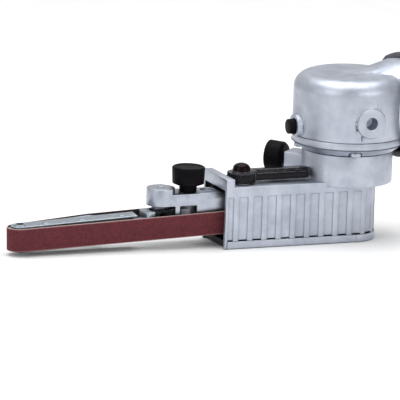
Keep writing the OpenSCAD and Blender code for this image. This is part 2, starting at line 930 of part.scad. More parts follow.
module drive_wheel() {
    color("#b8bcc4") difference() {
        union() {
            translate([0, 0, drive_z - wheel_h / 2])
                cylinder(r = drive_r - tyre_t, h = hub_h);
            // shoulder over the tyre
            translate([0, 0, drive_z + wheel_h / 2 + 0.2])
                cylinder(r = drive_r - 1.5, h = hub_h - wheel_h - 0.2);
        }
        translate([0, 0, spindle_low - 1])
            cylinder(r = thread_r + seat_c, h = 40);
        translate([0, 0, drive_z - wheel_h / 2 - 1])
            cylinder(r = 4, h = 30);
    }
}

module drive_tyre() {
    color("#26262a") translate([0, 0, drive_z - wheel_h / 2])
        ring(drive_r, drive_r - tyre_t + seat_c, wheel_h);
}

module spindle() {
    flange_low = neck_z - 1.6;
    color("#8a8c90") {
        translate([0, 0, spindle_low])
            cylinder(r = thread_r, h = flange_low - spindle_low + e);
        translate([0, 0, flange_low])
            cylinder(r = 10, h = bearing_z - flange_low - 0.2);
        translate([0, 0, bearing_z - 0.3])
            cylinder(r = journal_r, h = crown_z - 1 - bearing_z);
        translate([0, 0, crown_z - 2])
            cylinder(r = tail_r, h = top_bearing_z + 7 - crown_z + 2);
    }
}

module crown_gear() {
    color("#6a6c72") difference() {
        union() {
            translate([0, 0, crown_z - 5.6])
                cylinder(r = crown_r - 1.5, h = 5.6 + e);
            translate([0, 0, crown_z - 7.2])
                cylinder(r = 10.5, h = 3);
            translate([0, 0, crown_z])
                linear_extrude(crown_face_h, scale = tooth_in)
                    gear_outline(crown_teeth, crown_r, crown_r - 1.6);
        }
        translate([0, 0, crown_z - 10])
            cylinder(r = journal_r + seat_c, h = 9);
        translate([0, 0, crown_z - 2])
            cylinder(r = tail_r + seat_c, h = 12);
        translate([0, 0, crown_z + e])
            cylinder(r = crown_r * tooth_in - 2, h = 12);
        // holes that the lock pin drops into
        for (i = [0:3])
            rotate([0, 0, 90 * i])
                lock_axis(crown_r - 6)
                    cylinder(r = lock_r + 0.3, h = 8);
    }
}

module lower_bearing() {
    color("#a9abb0") translate([0, 0, bearing_z])
        difference() {
            ring(bearing_r, journal_r + run_c, bearing_h);
            for (z = [-e, bearing_h - 0.8])
                translate([0, 0, z])
                    ring(bearing_r - 2.4, journal_r + 2.4, 0.8 + e);
        }
}

module bearing_circlip() {
    color("#4c4e54") translate([0, 0, bearing_z + bearing_h + 0.05])
        difference() {
            ring(bearing_r + 0.8, bearing_r - 2, 1.1);
            translate([0, -2, -1])
                cube([40, 4, 4]);
        }
}

module dust_seal() {
    color("#202024") translate([0, 0, neck_z + 0.6])
        ring(13, 10.15, 3);
}

// Turns a shape to each screw of the bearing flange
module at_flange_screws() {
    for (i = [0:3])
        rotate([0, 0, screw_dir + 90 * i])
            translate([screw_ring_r, 0, 0])
                children();
}

module bearing_flange() {
    rim_low = flange_z + 4;
    color("#b4bac4") difference() {
        union() {
            translate([0, 0, neck_z])
                cylinder(r = neck_r, h = flange_z - neck_z + 1);
            translate([0, 0, flange_z])
                cylinder(r1 = collar_r + 1, r2 = flange_r, h = rim_low - flange_z);
            translate([0, 0, rim_low - e])
                cylinder(r = flange_r, h = case_z - rim_low);
            translate([0, 0, case_z - 1])
                cylinder(r = room_r - 0.1, h = 2.5);
        }
        translate([0, 0, neck_z - 1])
            cylinder(r = 13 + seat_c, h = bearing_z - neck_z - 0.3 + 1);
        translate([0, 0, neck_z])
            cylinder(r = 11, h = 8);
        translate([0, 0, bearing_z])
            cylinder(r = bearing_r + seat_c, h = 40);
        translate([0, 0, bearing_z + bearing_h])
            cylinder(r = bearing_r + 0.9, h = 1.2);
        // room for the crown gear's hub
        translate([0, 0, bearing_z + bearing_h + 3])
            cylinder(r = 20, h = 20);
        at_flange_screws() {
            translate([0, 0, flange_z - 1])
                cylinder(r = 3.7, h = 3.6);
            translate([0, 0, flange_z])
                cylinder(r = 2.1, h = 12);
        }
    }
}

module flange_screws() {
    color("#d8dade") at_flange_screws()
        translate([0, 0, flange_z + 0.3])
            difference() {
                union() {
                    cylinder(r = 3.3, h = 2.2);
                    cylinder(r = 2, h = flange_h + 7.5);
                }
                translate([0, 0, -e])
                    cylinder(r = 1.5, h = 1.4, $fn = 6);
            }
}

// ---- Gear case ----

// Turns a shape so that its Z axis points forward out of the lock button
module lock_axis(out) {
    translate([-out, 0, lock_z])
        rotate([0, -90, 0])
            children();
}

module gear_case() {
    dome = 9;
    color("#b0b6c2") difference() {
        union() {
            translate([0, 0, case_z + 0.05])
                cylinder(r = flange_r, h = case_top - dome - case_z);
            translate([0, 0, case_top - dome])
                rotate_extrude()
                    intersection() {
                        union() {
                            square([flange_r - dome, dome]);
                            translate([flange_r - dome, 0])
                                circle(r = dome);
                        }
                        square([flange_r, dome]);
                    }
            // barrel toward the motor
            intersection() {
                translate([0, 0, motor_z])
                    rotate([0, 90, 0]) {
                        cylinder(r1 = case_top - motor_z - 1, r2 = barrel_case_r, h = barrel_cone_h);
                        translate([0, 0, barrel_cone_h])
                            cylinder(r = barrel_case_r, h = ring_end - 4 - barrel_cone_h);
                    }
                translate([-50, -50, case_z + 0.05])
                    cube([120, 100, 80]);
            }
            // side bosses for the handle
            for (s = [-1, 1])
                translate([0, s * (handle_y - 9), handle_z])
                    rotate([s > 0 ? -90 : 90, 0, 0])
                        cylinder(r = handle_r, h = 9);
            // collar of the lock button
            intersection() {
                lock_axis(26)
                    cylinder(r = 6.8, h = lock_face - 26);
                translate([-60, -20, case_z + 0.05])
                    cube([60, 40, 30]);
            }
        }
        // gear room
        translate([0, 0, case_z - 1])
            cylinder(r = room_r, h = motor_z + 5 - case_z + 1);
        translate([0, 0, motor_z])
            rotate([0, 90, 0])
                cylinder(r = small_bearing_r + seat_c, h = 60);
        translate([0, 0, motor_z])
            cylinder(r = small_bearing_r + seat_c, h = top_bearing_z + 7 - motor_z);
        // bores of the side handle
        for (s = [-1, 1])
            translate([0, s * (handle_y + 1), handle_z])
                rotate([s > 0 ? 90 : -90, 0, 0])
                    cylinder(r = handle_hole_r, h = 9);
        // lock button's stepped bore
        lock_axis(20)
            cylinder(r = lock_r + run_c, h = 20);
        lock_axis(lock_step)
            cylinder(r = lock_head_r + 0.1, h = 20);
        at_flange_screws()
            translate([0, 0, case_z - 1])
                cylinder(r = 2 + seat_c, h = 10);
        at_case_screws()
            cylinder(r = case_hole_r, h = 24, center = true);
    }
}

// Places a shape at each screw that holds the motor, pointing along +X
module at_case_screws() {
    for (y = [-1, 1], z = [-1, 1])
        translate([ring_end - 4, y * case_screw_y, motor_z + z * case_screw_z])
            rotate([0, 90, 0])
                children();
}

module upper_bearing() {
    color("#a9abb0") translate([0, 0, top_bearing_z])
        difference() {
            ring(small_bearing_r, tail_r + run_c, 6.9);
            for (z = [-e, 6.2])
                translate([0, 0, z])
                    ring(9.2, tail_r + 1.8, 0.7 + e);
        }
}

module pinion() {
    color("#6a6c72") translate([crown_r * tooth_in, 0, motor_z])
        rotate([0, 90, 0])
            difference() {
                union() {
                    translate([0, 0, crown_r * (1 - tooth_in)])
                        mirror([0, 0, 1])
                            linear_extrude(crown_r * (1 - tooth_in), scale = tooth_in)
                                rotate(180 / pinion_teeth)
                                    gear_outline(pinion_teeth, pinion_r - mesh_c, pinion_r - 1.3);
                    translate([0, 0, crown_r * (1 - tooth_in) - e])
                        cylinder(r = 5.5, h = 4);
                }
                translate([0, 0, crown_r * (1 - tooth_in) - 5])
                    cylinder(r = shaft_r - 1.4 + seat_c, h = 20);
            }
}

module pinion_shaft() {
    color("#8a8c90") translate([crown_r - 4, 0, motor_z])
        rotate([0, 90, 0]) {
            cylinder(r = shaft_r - 1.4, h = 9);
            translate([0, 0, 8.1])
                cylinder(r = shaft_r, h = ring_end + 2 - crown_r - 4.1);
            translate([0, 0, ring_end + 6 - crown_r - e])
                cylinder(r = shaft_r - 0.5, h = shaft_end - ring_end - 2 + e);
        }
}

module pinion_bearing() {
    color("#a9abb0") translate([ring_end - 11, 0, motor_z])
        rotate([0, 90, 0])
            difference() {
                ring(small_bearing_r, shaft_r + run_c, 7);
                for (z = [-e, 6.3])
                    translate([0, 0, z])
                        ring(9.2, shaft_r + 1.8, 0.7 + e);
            }
}

module motor_ring() {
    color("#54565c") difference() {
        translate([ring_x, 0, motor_z])
            rotate([0, 90, 0])
                cylinder(r = ring_r, h = ring_end - ring_x);
        // clear of the flange and the case above it
        translate([0, 0, flange_z - 0.8])
            cylinder(r = flange_r + 0.4, h = 80);
        translate([0, 0, motor_z])
            rotate([0, 90, 0])
                cylinder(r = barrel_case_r + seat_c, h = ring_end - 4 + seat_c);
        translate([0, 0, motor_z])
            rotate([0, 90, 0])
                cylinder(r = 9, h = 60);
        at_case_screws()
            cylinder(r = case_hole_r, h = 60, center = true);
    }
}

module lock_button() {
    color("#1c1c20") {
        lock_axis(crown_r)
            cylinder(r = lock_r, h = lock_face - 2 - crown_r);
        lock_axis(lock_face - 2.5)
            cylinder(r = lock_head_r, h = 2.5 + lock_travel + 0.6);
    }
}

module lock_spring() {
    color("#9a9ca0") lock_axis(lock_step + 0.1)
        coil(3.1, 0.6, lock_face - 2.7 - lock_step, 3);
}

housing();
base_cover();
cover_screws();
clamp_knob();
clamp_stud();
clamp_pad();
guide_rails();
rail_screws();
release_lever();
lever_washer();
lever_pivot();
lever_crank();
lever_dome_nut();
tension_slide();
slide_rod();
rod_nut();
tension_spring();
tracking_knob();
tracking_stud();
tracking_barrel();
tracking_spring();
tracking_nut();
arm_bar();
arm_hinge_pin();
arm_top_plate();
arm_bottom_plate();
arm_rivets();
platen();
idler_wheel();
idler_bushing();
idler_pin();
sanding_belt();
drive_wheel();
drive_tyre();
spindle();
crown_gear();
lower_bearing();
bearing_circlip();
dust_seal();
bearing_flange();
flange_screws();
gear_case();
upper_bearing();
pinion();
pinion_shaft();
pinion_bearing();
motor_ring();
lock_button();
lock_spring();
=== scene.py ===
# %% [markdown]
# # A narrow belt sander head
# This lesson dresses a finished CAD model: a slim arm with an abrasive belt, a ribbed cast
# housing and the gear head that it is clamped on. The CAD model gives every size and every
# joint. The cells below give it light, soft edges, wound springs, a woven belt and the metal
# finishes that a maker would name.

# %% The frame
import json
import math

import bmesh
import bpy
from mathutils import Matrix, Vector


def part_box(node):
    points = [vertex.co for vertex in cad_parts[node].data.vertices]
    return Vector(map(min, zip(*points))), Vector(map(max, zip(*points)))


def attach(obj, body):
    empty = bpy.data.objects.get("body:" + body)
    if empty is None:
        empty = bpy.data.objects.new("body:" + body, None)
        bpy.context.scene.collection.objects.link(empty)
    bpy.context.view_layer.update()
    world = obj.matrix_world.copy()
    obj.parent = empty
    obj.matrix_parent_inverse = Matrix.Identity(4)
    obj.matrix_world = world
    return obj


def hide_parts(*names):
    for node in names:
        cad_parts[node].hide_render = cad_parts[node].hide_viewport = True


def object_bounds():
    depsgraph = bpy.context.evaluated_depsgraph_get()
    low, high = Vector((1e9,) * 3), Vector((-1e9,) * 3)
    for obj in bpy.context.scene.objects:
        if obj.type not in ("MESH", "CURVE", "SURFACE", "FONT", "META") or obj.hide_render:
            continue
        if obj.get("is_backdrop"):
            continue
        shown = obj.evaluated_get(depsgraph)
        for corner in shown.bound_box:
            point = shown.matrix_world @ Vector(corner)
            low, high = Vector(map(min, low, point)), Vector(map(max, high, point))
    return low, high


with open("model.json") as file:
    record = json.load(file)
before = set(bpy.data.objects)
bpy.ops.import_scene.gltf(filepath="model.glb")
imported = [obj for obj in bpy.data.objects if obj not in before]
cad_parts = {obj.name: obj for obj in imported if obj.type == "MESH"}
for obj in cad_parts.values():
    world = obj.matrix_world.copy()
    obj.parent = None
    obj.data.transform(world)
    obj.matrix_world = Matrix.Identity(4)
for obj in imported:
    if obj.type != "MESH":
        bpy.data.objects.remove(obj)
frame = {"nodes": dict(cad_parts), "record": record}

MM = 0.001
cad_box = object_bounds()

# %% [markdown]
# ## Camera
# The tool is seen from a little above and from its belt end, as when it lies on a bench in front
# of you. A very long lens from far away keeps the parallel edges of the housing parallel. The
# camera is placed on a sphere round a point on the object, so that direction, distance and roll
# are each one plain number.

# %% Camera
LOOK_AT = Vector((-0.0889, 0.0, 0.0253))
TURN = math.radians(-23.5)
RISE = math.radians(12.35)
ROLL = math.radians(2.1)
DISTANCE = 7.447
LENS = 1200.0
SENSOR_WIDE = 36.0
NEAREST, FARTHEST = 0.05, 60.0

away = Vector((math.sin(TURN) * math.cos(RISE),
               -math.cos(TURN) * math.cos(RISE),
               math.sin(RISE)))
camera_data = bpy.data.cameras.new("bench_camera")
camera_data.lens = LENS
camera_data.sensor_width = SENSOR_WIDE
camera_data.clip_start = NEAREST
camera_data.clip_end = FARTHEST
camera = bpy.data.objects.new("bench_camera", camera_data)
bpy.context.scene.collection.objects.link(camera)
aim = away.to_track_quat("Z", "Y").to_matrix() @ Matrix.Rotation(ROLL, 3, "Z")
camera.matrix_world = Matrix.Translation(LOOK_AT + away * DISTANCE) @ aim.to_4x4()
bpy.context.scene.camera = camera
bpy.context.scene.view_settings.view_transform = "Standard"
print("camera at", [round(c, 3) for c in camera.location])

# %% [markdown]
# ## Light
# Bright metal shows whatever stands round it. A pale world and three big soft panels give the
# casting one even tone per face, with lighter tops and darker undersides. Small lamps would give
# it hard hot spots.

# %% World and panels
WORLD_LEVEL = 0.62
WHITE = (1.0, 1.0, 1.0, 1.0)

world = bpy.data.worlds.new("studio")
world.use_nodes = True
background = world.node_tree.nodes["Background"]
background.inputs["Color"].default_value = WHITE
background.inputs["Strength"].default_value = WORLD_LEVEL
bpy.context.scene.world = world


def soft_panel(name, place, target, width, height, power):
    """A soft box that faces a point on the object."""
    data = bpy.data.lights.new(name, "AREA")
    data.shape = "RECTANGLE"
    data.size = width
    data.size_y = height
    data.energy = power
    lamp = bpy.data.objects.new(name, data)
    bpy.context.scene.collection.objects.link(lamp)
    toward = (Vector(place) - Vector(target)).to_track_quat("Z", "Y")
    lamp.matrix_world = Matrix.Translation(place) @ toward.to_matrix().to_4x4()
    return lamp


MIDDLE = Vector((-0.08, 0.0, 0.03))
soft_panel("top_panel", (-0.05, 0.10, 1.00), MIDDLE, 1.1, 0.9, 9.0)
soft_panel("left_panel", (-1.00, -0.45, 0.55), MIDDLE, 0.7, 0.6, 2.6)
soft_panel("front_panel", (0.45, -1.10, 0.60), MIDDLE, 0.8, 0.5, 3.5)
print("three panels")

# %% [markdown]
# ## Node helper and colour
# Every finish below is a node tree. One helper adds a node, sets its values and joins its
# inputs, so a tree reads from top to bottom. Colours are written as the hex codes of a paint
# chart and turned into the linear numbers that a renderer works with.


# %% Helpers for node trees
def add(tree, kind, inputs=None, **settings):
    """Adds a node. An input that is itself a socket is joined, anything else is a value."""
    node = tree.nodes.new(kind)
    for key, value in settings.items():
        setattr(node, key, value)
    for key, value in (inputs or {}).items():
        if isinstance(value, bpy.types.NodeSocket):
            tree.links.new(value, node.inputs[key])
        else:
            node.inputs[key].default_value = value
    return node


def linear(code):
    """Linear colour of an sRGB hex code."""
    parts = [int(code[i:i + 2], 16) / 255 for i in (1, 3, 5)]
    curve = [c / 12.92 if c <= 0.04045 else ((c + 0.055) / 1.055) ** 2.4 for c in parts]
    return tuple(curve) + (1.0,)


def per(size_mm):
    """Texture scale for a pattern whose grains are this many millimetres across."""
    return 1.0 / (size_mm * MM)


def start_finish(name, metallic, roughness, **more):
    """A new material with its shader and the object's own coordinates."""
    material = bpy.data.materials.new(name)
    material.use_nodes = True
    tree = material.node_tree
    tree.nodes.clear()
    shader = add(tree, "ShaderNodeBsdfPrincipled",
                 {"Metallic": metallic, "Roughness": roughness, **more})
    add(tree, "ShaderNodeOutputMaterial", {"Surface": shader.outputs["BSDF"]})
    place = add(tree, "ShaderNodeTexCoord").outputs["Object"]
    return material, tree, shader, place


def grain(tree, place, size_mm, detail=3.0, stretch=None, rough=0.55):
    """Cloudy noise of one grain size, drawn out along an axis where a tool dragged over it."""
    if stretch is not None:
        drawn_out = add(tree, "ShaderNodeMapping", {"Vector": place, "Scale": stretch})
        place = drawn_out.outputs["Vector"]
    noise = add(tree, "ShaderNodeTexNoise", {"Vector": place, "Scale": per(size_mm),
                                             "Detail": detail, "Roughness": rough})
    return noise.outputs["Fac"]


# Noise stays near its middle, so a ramp runs from low to high inside one of these spans.
NARROW = (0.35, 0.65)
WIDE = (0.3, 0.7)


def shade_between(tree, shader, factor, low, high, span=NARROW):
    """Base colour that wanders between two colours."""
    ramp = add(tree, "ShaderNodeValToRGB", {"Fac": factor})
    ramp.color_ramp.elements[0].position = span[0]
    ramp.color_ramp.elements[0].color = linear(low)
    ramp.color_ramp.elements[1].position = span[1]
    ramp.color_ramp.elements[1].color = linear(high)
    tree.links.new(ramp.outputs["Color"], shader.inputs["Base Color"])
    return ramp.outputs["Color"]


def roughen(tree, shader, factor, low, high):
    """Roughness that wanders between two values."""
    spread = add(tree, "ShaderNodeMapRange",
                 {"Value": factor, "From Min": WIDE[0], "From Max": WIDE[1],
                  "To Min": low, "To Max": high})
    tree.links.new(spread.outputs["Result"], shader.inputs["Roughness"])


def emboss(tree, shader, height, depth_mm, strength=1.0, below=None):
    """Bump of a given depth, over another bump if there is one."""
    inputs = {"Height": height, "Distance": depth_mm * MM, "Strength": strength}
    if below is not None:
        inputs["Normal"] = below
    bump = add(tree, "ShaderNodeBump", inputs)
    tree.links.new(bump.outputs["Normal"], shader.inputs["Normal"])
    return bump.outputs["Normal"]


# Painted shade in corners: how shut in a spot has to be before it darkens, and the most it darkens.
SHUT_IN, OPEN = 0.35, 0.9
MOST_SHADE = 0.85


def corners_darkened(tree, shader, colour, reach_mm, shade_colour):
    """Painted shade in the corners: where neighbours shut a surface in, a darker colour mixes in.
    """
    openness = add(tree, "ShaderNodeAmbientOcclusion", {"Distance": reach_mm * MM}, samples=6)
    share = add(tree, "ShaderNodeMapRange",
                {"Value": openness.outputs["AO"], "From Min": SHUT_IN, "From Max": OPEN,
                 "To Min": MOST_SHADE, "To Max": 0.0})
    mixed = add(tree, "ShaderNodeMix", {"Factor": share.outputs["Result"], "B": linear(shade_colour)},
                data_type="RGBA")
    tree.links.new(colour, mixed.inputs["A"])
    tree.links.new(mixed.outputs["Result"], shader.inputs["Base Color"])


print("per(0.5) =", per(0.5))

# %% [markdown]
# ## Cast aluminium
# The housing, its cover and the gear head are die castings, tumbled and blasted. Blasting leaves
# a satin grey with a slight blue cast and a fine sandy grain. The real grain is near 0.15 mm,
# too fine to see at this distance, so it is drawn at 0.5 mm, with slow clouds over it where the
# metal cooled unevenly.


# %% Cast aluminium
def blasted_cast_aluminium():
    """Satin, even and slightly blue, with a sandy grain that catches the light on every edge."""
    material, tree, shader, place = start_finish("blasted_cast_aluminium", 0.92, 0.44)
    clouds = grain(tree, place, 11.0, 4.0)
    sand = grain(tree, place, 0.5, 3.0)
    metal = shade_between(tree, shader, clouds, "#a9afbb", "#bcc1cc")
    # The corners get a darker grey as painted shade.
    corners_darkened(tree, shader, metal, 1.2, "#737783")
    roughen(tree, shader, grain(tree, place, 3.0, 3.0), 0.38, 0.50)
    swell = emboss(tree, shader, clouds, 0.08, 0.5)
    emboss(tree, shader, sand, 0.06, 0.7, swell)
    return material


def dust_blackened_casting():
    """The same casting, nearly black and quite dull, for the faces inside the belt room."""
    material, tree, shader, place = start_finish("dust_blackened_casting", 0.2, 0.72)
    shade_between(tree, shader, grain(tree, place, 4.0, 4.0), "#1b1b1e", "#303136", WIDE)
    emboss(tree, shader, grain(tree, place, 0.6, 3.0), 0.06, 0.6)
    return material


CAST = blasted_cast_aluminium()
ROOM_BLACK = dust_blackened_casting()

# %% [markdown]
# ## Machined aluminium
# The tension slide and the drive wheel are milled from bar. A cutter leaves parallel lines, so
# the noise is squeezed in one direction and drawn out in the other two. Machined metal is
# smoother and a little whiter than a casting.


# %% Machined aluminium
def milled_aluminium():
    """Bright and striped, with long soft highlights across the tool marks."""
    material, tree, shader, place = start_finish("milled_aluminium", 1.0, 0.30)
    level_lines = grain(tree, place, 9.0, 2.0, (1.0, 1.0, 22.0))
    cross_lines = grain(tree, place, 9.0, 2.0, (1.0, 26.0, 1.0))
    clouds = grain(tree, place, 6.0, 3.0)
    metal = shade_between(tree, shader, clouds, "#a2a8b4", "#b6bbc6")
    # The corners get a dark grey as painted shade.
    corners_darkened(tree, shader, metal, 2.5, "#3c3f47")
    roughen(tree, shader, level_lines, 0.30, 0.44)
    first = emboss(tree, shader, level_lines, 0.04, 0.5)
    emboss(tree, shader, cross_lines, 0.03, 0.4, first)
    return material


MILLED = milled_aluminium()

# %% [markdown]
# ## Black mouldings
# The two knobs are moulded phenolic, the lever is an enamelled casting. Both are black, but the
# knob is dry and matt with a fine orange peel. The lever has a hard gloss. Its edges get a paler
# finish, which stands for the light that a gloss catches there: these even lamps can't give it.


# %% Black mouldings
def moulded_phenolic():
    """Dry black with a brown cast where hands have polished it."""
    material, tree, shader, place = start_finish("moulded_phenolic", 0.0, 0.46, IOR=1.5)
    shader.inputs["Specular IOR Level"].default_value = 0.06
    shade_between(tree, shader, grain(tree, place, 5.0, 4.0), "#070608", "#0f0c12", WIDE)
    roughen(tree, shader, grain(tree, place, 2.0, 3.0), 0.40, 0.56)
    emboss(tree, shader, grain(tree, place, 0.6, 2.0), 0.04, 0.5)
    return material


def enamel_rubbed_through():
    """Paler enamel for the edges, in place of the highlights that lie along them."""
    material, tree, shader, place = start_finish("enamel_rubbed_through", 0.6, 0.25)
    # The edge colour wanders between a dark and a paler grey: a painted highlight.
    highlight_grain = grain(tree, place, 3.0, 4.0)
    shade_between(tree, shader, highlight_grain, "#1c1c21", "#55555d")
    roughen(tree, shader, highlight_grain, 0.2, 0.35)
    return material


def gloss_black_enamel():
    """Hard black enamel over a casting: a clear highlight that wavers a little."""
    material, tree, shader, place = start_finish("gloss_black_enamel", 0.0, 0.18, IOR=1.5)
    shader.inputs["Specular IOR Level"].default_value = 0.17
    shade_between(tree, shader, grain(tree, place, 6.0, 2.0), "#08080b", "#0e0d12", WIDE)
    roughen(tree, shader, grain(tree, place, 5.0, 3.0), 0.13, 0.24)
    emboss(tree, shader, grain(tree, place, 3.0, 2.0), 0.02, 0.2)
    return material


def moulded_nylon():
    """Dark grey glass filled nylon: matt, with a faint sparkle of fibre."""
    material, tree, shader, place = start_finish("moulded_nylon", 0.0, 0.55, IOR=1.53)
    shade_between(tree, shader, grain(tree, place, 7.0, 4.0), "#4a4c52", "#5c5e65", WIDE)
    roughen(tree, shader, grain(tree, place, 1.2, 3.0), 0.46, 0.62)
    emboss(tree, shader, grain(tree, place, 0.7, 2.0), 0.05, 0.5)
    return material


PHENOLIC = moulded_phenolic()
ENAMEL = gloss_black_enamel()
ENAMEL_HIGHLIGHT = enamel_rubbed_through()
NYLON = moulded_nylon()

# %% [markdown]
# ## Steels
# A tool like this uses many steels, and their finish tells them apart. Zinc plate is pale and
# cloudy. Ground steel has fine rings from the wheel. Black oxide is a thin dark skin that wears
# to grey, and phosphate is a dull grey one. Black nickel is nearly a mirror. Gears are dark with
# oil, bearings polished and springs drawn.


# %% Steels
def zinc_plate():
    """Pale blue grey with soft crystals in it."""
    material, tree, shader, place = start_finish("zinc_plate", 1.0, 0.34)
    shade_between(tree, shader, grain(tree, place, 2.2, 4.0), "#a0aab4", "#b4bdc6", WIDE)
    roughen(tree, shader, grain(tree, place, 4.0, 4.0), 0.28, 0.44)
    emboss(tree, shader, grain(tree, place, 0.8, 3.0), 0.03, 0.5)
    return material


def ground_steel():
    """Clean grey with fine marks of the grinding wheel."""
    material, tree, shader, place = start_finish("ground_steel", 1.0, 0.28)
    rings = grain(tree, place, 5.0, 2.0, (1.0, 1.0, 18.0))
    shade_between(tree, shader, grain(tree, place, 3.0, 3.0), "#9b9da1", "#b3b5b9", WIDE)
    roughen(tree, shader, rings, 0.20, 0.38)
    emboss(tree, shader, rings, 0.03, 0.5)
    return material


def black_oxide():
    """Blue black skin, worn to grey in small patches."""
    material, tree, shader, place = start_finish("black_oxide", 0.75, 0.42)
    wear = grain(tree, place, 3.5, 5.0, None, 0.65)
    shade_between(tree, shader, wear, "#232429", "#4a4c53", (0.42, 0.78))
    roughen(tree, shader, wear, 0.36, 0.54)
    emboss(tree, shader, grain(tree, place, 0.9, 3.0), 0.04, 0.5)
    return material


def black_nickel():
    """Dark mirror with a warm tint."""
    material, tree, shader, place = start_finish("black_nickel", 1.0, 0.14)
    shade_between(tree, shader, grain(tree, place, 2.5, 3.0), "#161113", "#211a1c", WIDE)
    roughen(tree, shader, grain(tree, place, 2.0, 3.0), 0.16, 0.26)
    emboss(tree, shader, grain(tree, place, 1.2, 3.0), 0.02, 0.4)
    return material


def oiled_gear_steel():
    """Dark hardened steel under a film of oil."""
    material, tree, shader, place = start_finish("oiled_gear_steel", 1.0, 0.30)
    shade_between(tree, shader, grain(tree, place, 3.0, 4.0), "#5b5d63", "#7b7d83", WIDE)
    roughen(tree, shader, grain(tree, place, 5.0, 4.0), 0.16, 0.42)
    emboss(tree, shader, grain(tree, place, 0.8, 3.0), 0.03, 0.5)
    return material


def polished_bearing_steel():
    """Polished race with faint turning rings."""
    material, tree, shader, place = start_finish("polished_bearing_steel", 1.0, 0.12)
    shade_between(tree, shader, grain(tree, place, 4.0, 2.0), "#b0b2b6", "#c6c8cb", WIDE)
    roughen(tree, shader, grain(tree, place, 3.0, 3.0), 0.08, 0.18)
    emboss(tree, shader, grain(tree, place, 0.6, 2.0), 0.01, 0.4)
    return material


def drawn_spring_wire():
    """Drawn wire: smooth along its length, a little streaked."""
    material, tree, shader, place = start_finish("drawn_spring_wire", 1.0, 0.25)
    shade_between(tree, shader, grain(tree, place, 1.5, 3.0), "#8f9195", "#aeb0b4", WIDE)
    roughen(tree, shader, grain(tree, place, 1.2, 3.0), 0.20, 0.34)
    emboss(tree, shader, grain(tree, place, 0.5, 2.0), 0.02, 0.4)
    return material


def phosphated_steel():
    """Grey phosphate on turned steel: mid grey, dull, with faint turning lines."""
    material, tree, shader, place = start_finish("phosphated_steel", 0.5, 0.5)
    rings = grain(tree, place, 0.5, 2.0, (0.15, 0.15, 1.0))
    shade_between(tree, shader, rings, "#6a6a72", "#8d8d95", WIDE)
    roughen(tree, shader, rings, 0.42, 0.58)
    return material


ZINC = zinc_plate()
GROUND = ground_steel()
OXIDE = black_oxide()
PHOSPHATE = phosphated_steel()
NICKEL = black_nickel()
GEAR = oiled_gear_steel()
BEARING = polished_bearing_steel()
WIRE = drawn_spring_wire()

# %% [markdown]
# ## Bronze and rubber
# Bushings and slideways are sintered bronze: metal powder pressed and baked, so it is open and
# dull. The drive wheel has a rubber tyre, ground to size, and the gear head has a soft seal.


# %% Bronze and rubber
def sintered_bronze():
    """Dull brown gold, speckled with pores."""
    material, tree, shader, place = start_finish("sintered_bronze", 0.9, 0.50)
    pores = grain(tree, place, 0.7, 4.0)
    shade_between(tree, shader, pores, "#7d6235", "#b08c4e", (0.35, 0.6))
    roughen(tree, shader, pores, 0.42, 0.62)
    emboss(tree, shader, pores, 0.05, 0.6)
    return material


def oiled_slideway():
    """Bronze slideway under old black oil."""
    material, tree, shader, place = start_finish("oiled_slideway", 0.7, 0.45)
    film = grain(tree, place, 2.5, 4.0)
    shade_between(tree, shader, film, "#17140f", "#3b3224", (0.35, 0.7))
    roughen(tree, shader, film, 0.30, 0.58)
    emboss(tree, shader, grain(tree, place, 0.8, 3.0), 0.04, 0.5)
    return material


def ground_rubber():
    """Dusty black, with the marks of the stone that trued it."""
    material, tree, shader, place = start_finish("ground_rubber", 0.0, 0.72, IOR=1.52)
    marks = grain(tree, place, 3.0, 3.0, (1.0, 1.0, 9.0))
    shade_between(tree, shader, marks, "#1c1c1f", "#303034", WIDE)
    roughen(tree, shader, marks, 0.64, 0.82)
    emboss(tree, shader, marks, 0.06, 0.6)
    return material


def seal_rubber():
    """Soft black lip with a trace of grease."""
    material, tree, shader, place = start_finish("seal_rubber", 0.0, 0.48, IOR=1.52)
    shade_between(tree, shader, grain(tree, place, 3.0, 3.0), "#151517", "#232326", WIDE)
    roughen(tree, shader, grain(tree, place, 2.0, 3.0), 0.36, 0.62)
    emboss(tree, shader, grain(tree, place, 1.0, 3.0), 0.04, 0.5)
    return material


BRONZE = sintered_bronze()
SLIDEWAY = oiled_slideway()
TYRE = ground_rubber()
SEAL = seal_rubber()

# %% [markdown]
# ## Abrasive belt
# The belt is cloth with a coat of red brown aluminium oxide grit held in resin. P120 grit is
# 0.12 mm; it is drawn at 0.55 mm so that the speckle can be seen. The back is a black twill,
# perhaps from graphite on the platen, which is a guess. The slit edges show pale threads.


# %% Abrasive belt
BELT_WIDE = 13.0 * MM
EDGE_WEAR = 0.35 * MM
EDGE_FRAY = 0.15 * MM
RAGGED = 0.5 * MM


